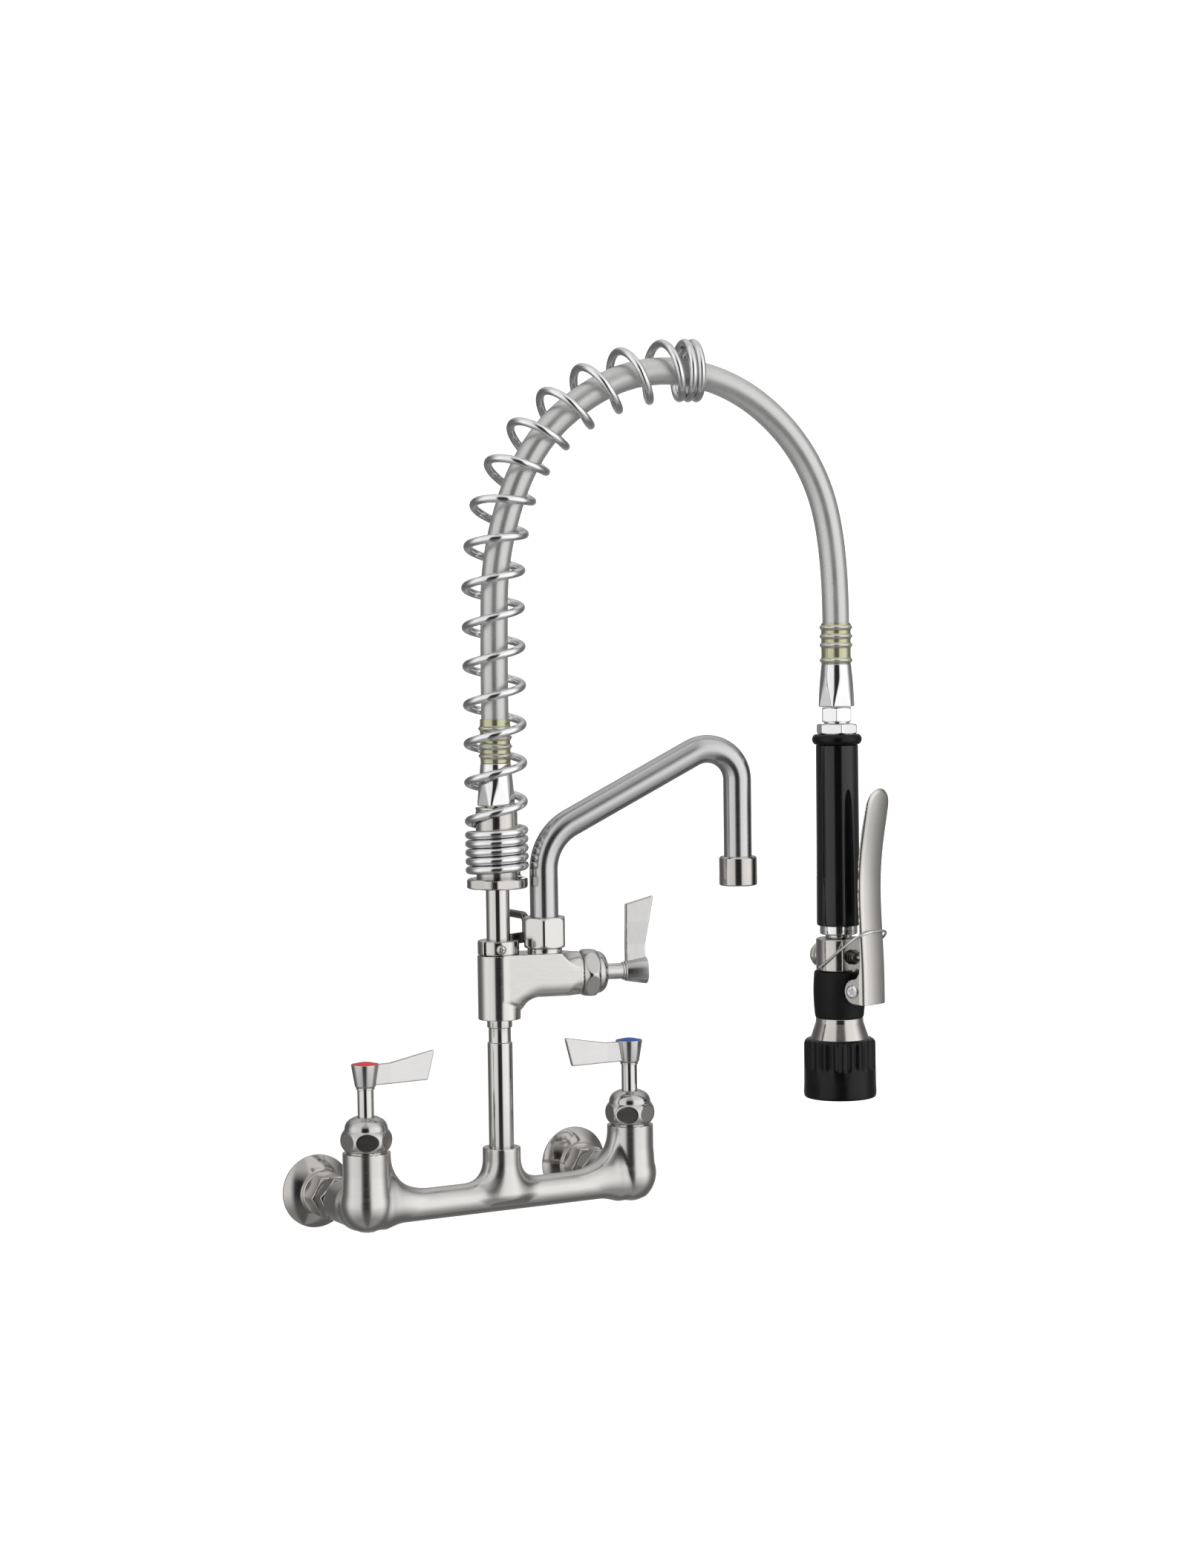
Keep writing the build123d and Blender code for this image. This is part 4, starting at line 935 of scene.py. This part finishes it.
def spray_head_joint():
    """The hose's end hexagon, the grip nut that turns under it and the rubber ring."""
    small = together(
        hex_ring(20.4, 319.8, 330.0, 11.8, 0.9, turned_by=10.0),
        lathe([(4.5, 318.8), (9.0, 318.8), (9.0, 320.2), (4.5, 320.2)], radius=0.2),
    )
    spray_piece("spray_inlet", small, CHROME, body="arch")
    spray_piece("grip_nut", hex_ring(25.6, 311.4, 318.5, 14.8, 0.9, 7.05, turned_by=24.0), CHROME)
    crown = arc((15.6, 304.2), (17.5, 307.7), (15.6, 311.2), 10)
    ring = [(8.6, GRIP_TOP), (14.2, GRIP_TOP)] + crown + [(14.2, 311.4), (8.6, 311.4)]
    spray_piece("rubber_ring", lathe(ring, radius=0.3), RUBBER)


def grip():
    """The black sleeve, and the tube inside it whose lower end shows as a bright band."""
    foot, tube_r = 176.8, 12
    sleeve = [(tube_r, foot), (15.1, foot), (15.4, 179), (15.2, 210), (15.0, 240), (14.8, GRIP_TOP)]
    sleeve += [(tube_r, GRIP_TOP)]
    spray_piece("grip_sleeve", lathe(sleeve, radius=1.0), GRIP)
    band = [(8, BODY_TOP), (12.4, BODY_TOP), (13.2, BODY_TOP + 0.8), (13.2, foot)]
    band += [(tube_r, foot), (tube_r, GRIP_TOP), (8.6, GRIP_TOP), (8.6, 184), (8, 184)]
    spray_piece("grip_tube", lathe(band, radius=0.3), CHROME)


def valve_body():
    """Flat-faced drum on the boot's core, with its neck, lug, side cap, packing nut and plunger."""
    def field(p):
        drum = disc(p, BODY_FOOT, 167.9, 16.0, 1.6)
        drum = shared(drum, p[:, 0] - 12.5, 0.8)
        neck = disc(p, 160, BODY_TOP, 9.3, 0.4)
        seat = bar(p, (0, 0, VALVE_Z), (-16.2, 0, VALVE_Z), 8.4, 0.5)
        body = blended(np.minimum(drum, seat), neck, 1.5)
        core = disc(p, 112, 146, 13.5, 0.3)
        lug = block(p, (5, -9, 125), (25, 9, 140), 1.5)
        return np.minimum(body, blended(core, lug, 1.5))

    spray_piece("valve_body", surface(field, (-17, -17, 112), (26, 17, 171), 0.6), NICKEL)
    out = SPRAY @ move(0, 0, VALVE_Z)
    cap = lathe([(0, 15.5), (8.4, 16.2), (8.4, 19.2), (6.8, 19.2), (6.8, 21.2), (0, 21.2)], radius=0.4)
    spray_piece("side_cap", cap, NICKEL, out @ turn("Y", -90))
    nut = [(2.6, 12.4), (5.3, 12.4), (5.3, 14.6), (4.4, 14.9), (4.4, 16.4), (3.8, 17.2), (2.6, 17.2)]
    spray_piece("packing_nut", lathe(nut, 64, 0.3), DARK_STEEL, out @ turn("Y", 90))
    rod = lathe([(0, 4), (2.5, 4), (2.5, 30), (1.5, 31), (0, 31)], 32, 0.2)
    spray_piece("plunger", rod, BRIGHT, out @ turn("Y", 90), "plunger")


def boot():
    """Rubber boot round the valve's core, open where the lug comes out."""
    bulge = arc((17.1, BOOT_FOOT + 0.8), (18.2, 128.3), (17.5, BODY_FOOT - 0.8), 10)
    outline = [(13.6, BOOT_FOOT), (16.4, BOOT_FOOT)] + bulge + [(16.8, BODY_FOOT), (13.6, BODY_FOOT)]

    def field(p):
        return without(turned(p, outline), block(p, (8, -9, 125), (28, 9, 140), 1.5), 0.8)

    spray_piece("boot", surface(field, (-19, -19, 111), (19, 19, 145.5), 0.6), FLEX)


def spray_cone():
    """Flared outlet, hollow below, with the bumper's seat round its mouth."""
    outside = [(13.6, BOOT_FOOT), (16.6, BOOT_FOOT), (16.8, 108.4), (20.6, 97.1), (20.6, 94.1)]
    outside += [(22.2, 94.1), (22.2, 82)]
    inside = [(17, 82), (17, 95.1), (5, 101.1), (5, 103.1), (13.6, 103.1)]
    spray_piece("spray_cone", lathe(outside + inside, radius=0.6), NICKEL)


def bumper():
    """Rubber cup whose upper half is fluted; each flute runs out into the smooth rim below."""
    shoulder = arc((22.4, 96.9), (24.5, 95.4), (25.2, 92.6), 8)
    fluted = [(25.25, z) for z in np.arange(91, 74, -1.0)]
    rim = [(25.3, 66), (25.6, 59), (25.3, 56.4), (24.4, 55.5), (22.4, 55.5)]
    inside = [(22.2, 77), (22.2, 94.1), (20.6, 94.1)]
    points, faces = lathe([(20.6, 97.1), (21.6, 97.1), *shoulder, *fluted, *rim, *inside], 288, 0.5)
    r, a, z = from_axis(points), np.arctan2(points[:, 1], points[:, 0]), points[:, 2]
    window = np.clip((z - 75) / 3, 0, 1) * np.clip((97.2 - z) / 3, 0, 1) * (r > 22.5)
    groove = np.abs(np.cos(12 * a)) ** 1.4
    cut = 1.25 * (1 - groove) * window
    points = np.stack([(r - cut) * np.cos(a), (r - cut) * np.sin(a), z], axis=1)
    spray_piece("bumper", (points, faces), RUBBER)


def squeeze_lever():
    """Pressed channel with rounded bends, a rounded tip and two ears back to the pivot."""
    spine = np.polyfit([123, 160, 200, 226, 248, 264, 275], [33.7, 32.8, 30.8, 32.2, 35.6, 38.6, 39.6], 5)
    side = [(np.polyval(spine, z) + 0.4, z) for z in np.linspace(123, LEVER_TIP + 1, 40)]
    back = [(38.2, 276), (35.4, 262), (31.0, 243), (28.4, 222), (27.6, 200), (28.6, 175), (29.4, 155)]
    ear = [(28.6, 146), (26, 142.0)] + arc((24, 141.2), (15.4, PIVOT_Z), (23.0, 123.6), 10)
    profile = side + back + ear
    round_z = LEVER_TIP - LEVER_HALF
    tip = arc((-LEVER_HALF, round_z), (0, LEVER_TIP), (LEVER_HALF, round_z), 16)
    end_view = [(-LEVER_HALF, 115)] + tip + [(LEVER_HALF, 115)]

    def field(p):
        crown = 1.3 * (p[:, 1] / LEVER_HALF) ** 2
        front = p[:, 0] - np.polyval(spine, np.clip(p[:, 2], 120, 277)) + crown
        wide = np.abs(p[:, 1])
        ends = np.maximum(polygon(p[:, [1, 2]], end_view), wide - LEVER_HALF)
        shell = shared(shared(ends, front, 4.0), polygon(p[:, [0, 2]], profile), 0.5)
        hollow = shared(ends + GAUGE, front + GAUGE, 2.5)
        return without(shell, hollow, 0.4)

    mesh = surface(field, (14.8, -13.2, 122.5), (40.5, 13.2, 275.5), 0.5)
    spray_piece("squeeze_lever", mesh, TRIGGER_STEEL, body="squeeze_lever")


def pivot_screw():
    """Shouldered screw through both ears, its head cross-recessed."""
    outer = LEVER_HALF + 0.2
    face = -outer - 1.5

    def field(p):
        near = turned(p, [(0, face), (3.6, face), (4.7, face + 0.7), (4.7, -outer), (0, -outer)])
        far = disc(p, outer, outer + 1.5, 4.4, 0.5)
        shank = disc(p, -outer - 0.5, outer + 0.5, 2.9, 0.2)
        body = np.minimum(np.minimum(near, far), shank)
        for wide, tall in ((2.3, 0.5), (0.5, 2.3)):
            slot = block(p, (-wide, -tall, -outer - 3), (wide, tall, -outer - 0.5), 0.15)
            body = without(body, slot, 0.2)
        return body

    mesh = surface(field, (-5, -5, -15), (5, 5, 15), 0.25)
    place = SPRAY @ move(PIVOT_X, 0, PIVOT_Z) @ turn("X", -90) @ turn("Z", 25)
    spray_piece("pivot_screw", mesh, CHROME, place)


def wire_bail():
    """Hold-open loop: two legs hooked into the valve body and a rounded end round the lever."""
    rise = math.radians(34.9)
    hooked, half, reach = 13.2, 17.4, 47

    def at(distance, across):
        return (-4 + distance * math.cos(rise), across, 147.5 + distance * math.sin(rise))

    legs = [at(0, -hooked), at(0, -half), at(reach, -half), at(reach, half), at(0, half), at(0, hooked)]
    first = rounded_path(legs[:3], [1.4])[:-1]
    loop = rounded_path([first[-1], legs[2], legs[3], legs[4]], (13.0, 13.0))[1:-1]
    last = rounded_path([loop[-1], legs[4], legs[5]], [1.4])[1:]
    spray_piece("wire_bail", sweep(first + loop + last, BAIL_WIRE_R, 16), CHROME, body="bail")


# ---- CAD nodes kept as they are
def carried(look):
    """The same finish for a CAD node, whose own coordinates are metres in the row frame."""
    material = look.copy()
    graph = Graph(material.node_tree)
    where = graph.scaled(graph.node("TexCoord", {}, "Object"), 1 / MM)
    attribute = next(n for n in graph.nodes if n.bl_idname == "ShaderNodeAttribute")
    for link in list(attribute.outputs["Vector"].links):
        graph.links.new(where, link.to_socket)
    graph.nodes.remove(attribute)
    return material


def dress_cad_nodes():
    steel_look, plastic = carried(TURNED), carried(GREY_PLASTIC)
    rubber, dark = carried(RUBBER), carried(DARK_STEEL)
    kept = {
        **{f"lever_screw_{name}": steel_look for name in VALVES},
        **{f"cartridge_{name}": plastic for name in VALVES},
        "flow_straightener": plastic,
        "spray_face": plastic,
        "spout_seals": rubber,
        "return_spring": dark,
    }
    for name, look in kept.items():
        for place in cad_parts[name].material_slots:
            place.material = look


# ---- camera, studio and floor
def camera():
    look = Vector((math.sin(YAW) * math.cos(PITCH), math.cos(YAW) * math.cos(PITCH), -math.sin(PITCH)))
    level = Vector((math.cos(YAW), -math.sin(YAW), 0))
    upright = level.cross(look)
    right = math.cos(ROLL) * level + math.sin(ROLL) * upright
    up = math.cos(ROLL) * upright - math.sin(ROLL) * level
    data = bpy.data.cameras.new("camera")
    data.lens = 67.47
    data.sensor_width = 36
    eye = bpy.data.objects.new("camera", data)
    place = Matrix.Translation((-0.9129, -1.8670, 0.3885))
    eye.matrix_world = place @ Matrix((right, up, -look)).transposed().to_4x4()
    bpy.context.scene.collection.objects.link(eye)
    bpy.context.scene.camera = eye


def studio():
    """Soft walls: bright from either side round towards the camera, dark behind it, dim ahead of it."""
    world = bpy.data.worlds.new("studio")
    bpy.context.scene.world = world
    world.use_nodes = True
    graph = Graph(world.node_tree)
    graph.nodes.clear()
    x, y, z = graph.split(graph.node("TexCoord", {}, "Generated"))

    def toward(east, north):
        return graph.sum(graph.product(x, east), graph.product(y, north))

    def toned(value, start, end, below, tone, most):
        return graph.mixed(graph.ranged(value, 0, most, start, end), below, (tone, tone, tone))

    ahead, rightward = toward(math.sin(YAW), math.cos(YAW)), toward(math.cos(YAW), -math.sin(YAW))
    level = graph.math("MAXIMUM", graph.math("SQRT", toward(x, y)), 0.001)
    bearing = graph.math("ARCCOSINE", graph.math("DIVIDE", ahead, level))
    ramp = graph.node("ValToRGB", {0: graph.math("DIVIDE", bearing, math.pi)})
    # degrees round from straight ahead, and brightness
    stops = [
        (0, 0.3), (22, 0.2), (45, 0.11), (68, 0.13), (80, 0.24), (90, 0.5), (100, 0.8), (112, 0.9),
        (126, 0.84), (140, 0.82), (155, 0.78), (164, 0.03), (180, 0.015),
    ]
    elements = ramp.node.color_ramp.elements
    for degrees, _ in stops[1:-1]:
        elements.new(degrees / 180)
    for element, (_, tone) in zip(elements, stops):
        element.color = (tone, tone, tone, 1)
    walls = graph.scaled(ramp, graph.ranged(rightward, 0.9, 1.1, -0.5, 0.5))
    sky = toned(z, 0.35, 0.75, walls, 0.62, 0.75)
    sky = toned(z, -0.15, -0.75, sky, 0.12, 0.8)
    shown = graph.mixed(graph.node("LightPath", {}, "Is Camera Ray"), sky, (1, 1, 1))
    output = graph.nodes.new("ShaderNodeOutputWorld")
    background = graph.node("Background", {"Color": shown, "Strength": 1.4})
    graph.links.new(background, output.inputs["Surface"])

    lamp = bpy.data.lights.new("overhead", "SUN")
    lamp.angle = 1.4
    lamp.energy = 2.3
    overhead = bpy.data.objects.new("overhead", lamp)
    overhead.location = (0, -0.6, 2.6)
    overhead.visible_glossy = False
    bpy.context.scene.collection.objects.link(overhead)


def floor():
    around, radius, height = 96, 6, -0.3
    data = bpy.data.meshes.new("floor")
    angles = [math.tau * k / around for k in range(around)]
    ring = [(radius * math.cos(a), radius * math.sin(a), height) for a in angles]
    data.from_pydata(ring, [], [tuple(range(around))])
    look = Look("pale_floor", (0.86, 0.86, 0.86), 0.8)
    grain = look.node("TexNoise", {"Vector": look.node("TexCoord", {}, "Object"), "Scale": 40}, "Fac")
    look.colour(look.mixed(look.ranged(grain, 0, 1), (0.862, 0.862, 0.862), (0.87, 0.87, 0.87)))
    data.materials.append(look.material)
    ground = bpy.data.objects.new("floor", data)
    ground.visible_glossy = False
    bpy.context.scene.collection.objects.link(ground)


# ---- the whole scene
camera()
hose(hose_ends())
mixer_body()
wall_inlets()
for valve_name, (bonnet_height, hub_foot, flats_turn) in VALVE_SIZES.items():
    bonnet(valve_name, bonnet_height, flats_turn)
    stem(valve_name, hub_foot)
    lever(valve_name, hub_foot)
    index_button(valve_name, hub_foot)
risers()
pot_filler_body()
spout()
clamp()
arch_foot()
overhead_spring()
spray_head_joint()
grip()
valve_body()
boot()
spray_cone()
bumper()
squeeze_lever()
pivot_screw()
wire_bail()
dress_cad_nodes()
studio()
floor()
bpy.context.scene.view_settings.view_transform = "Standard"
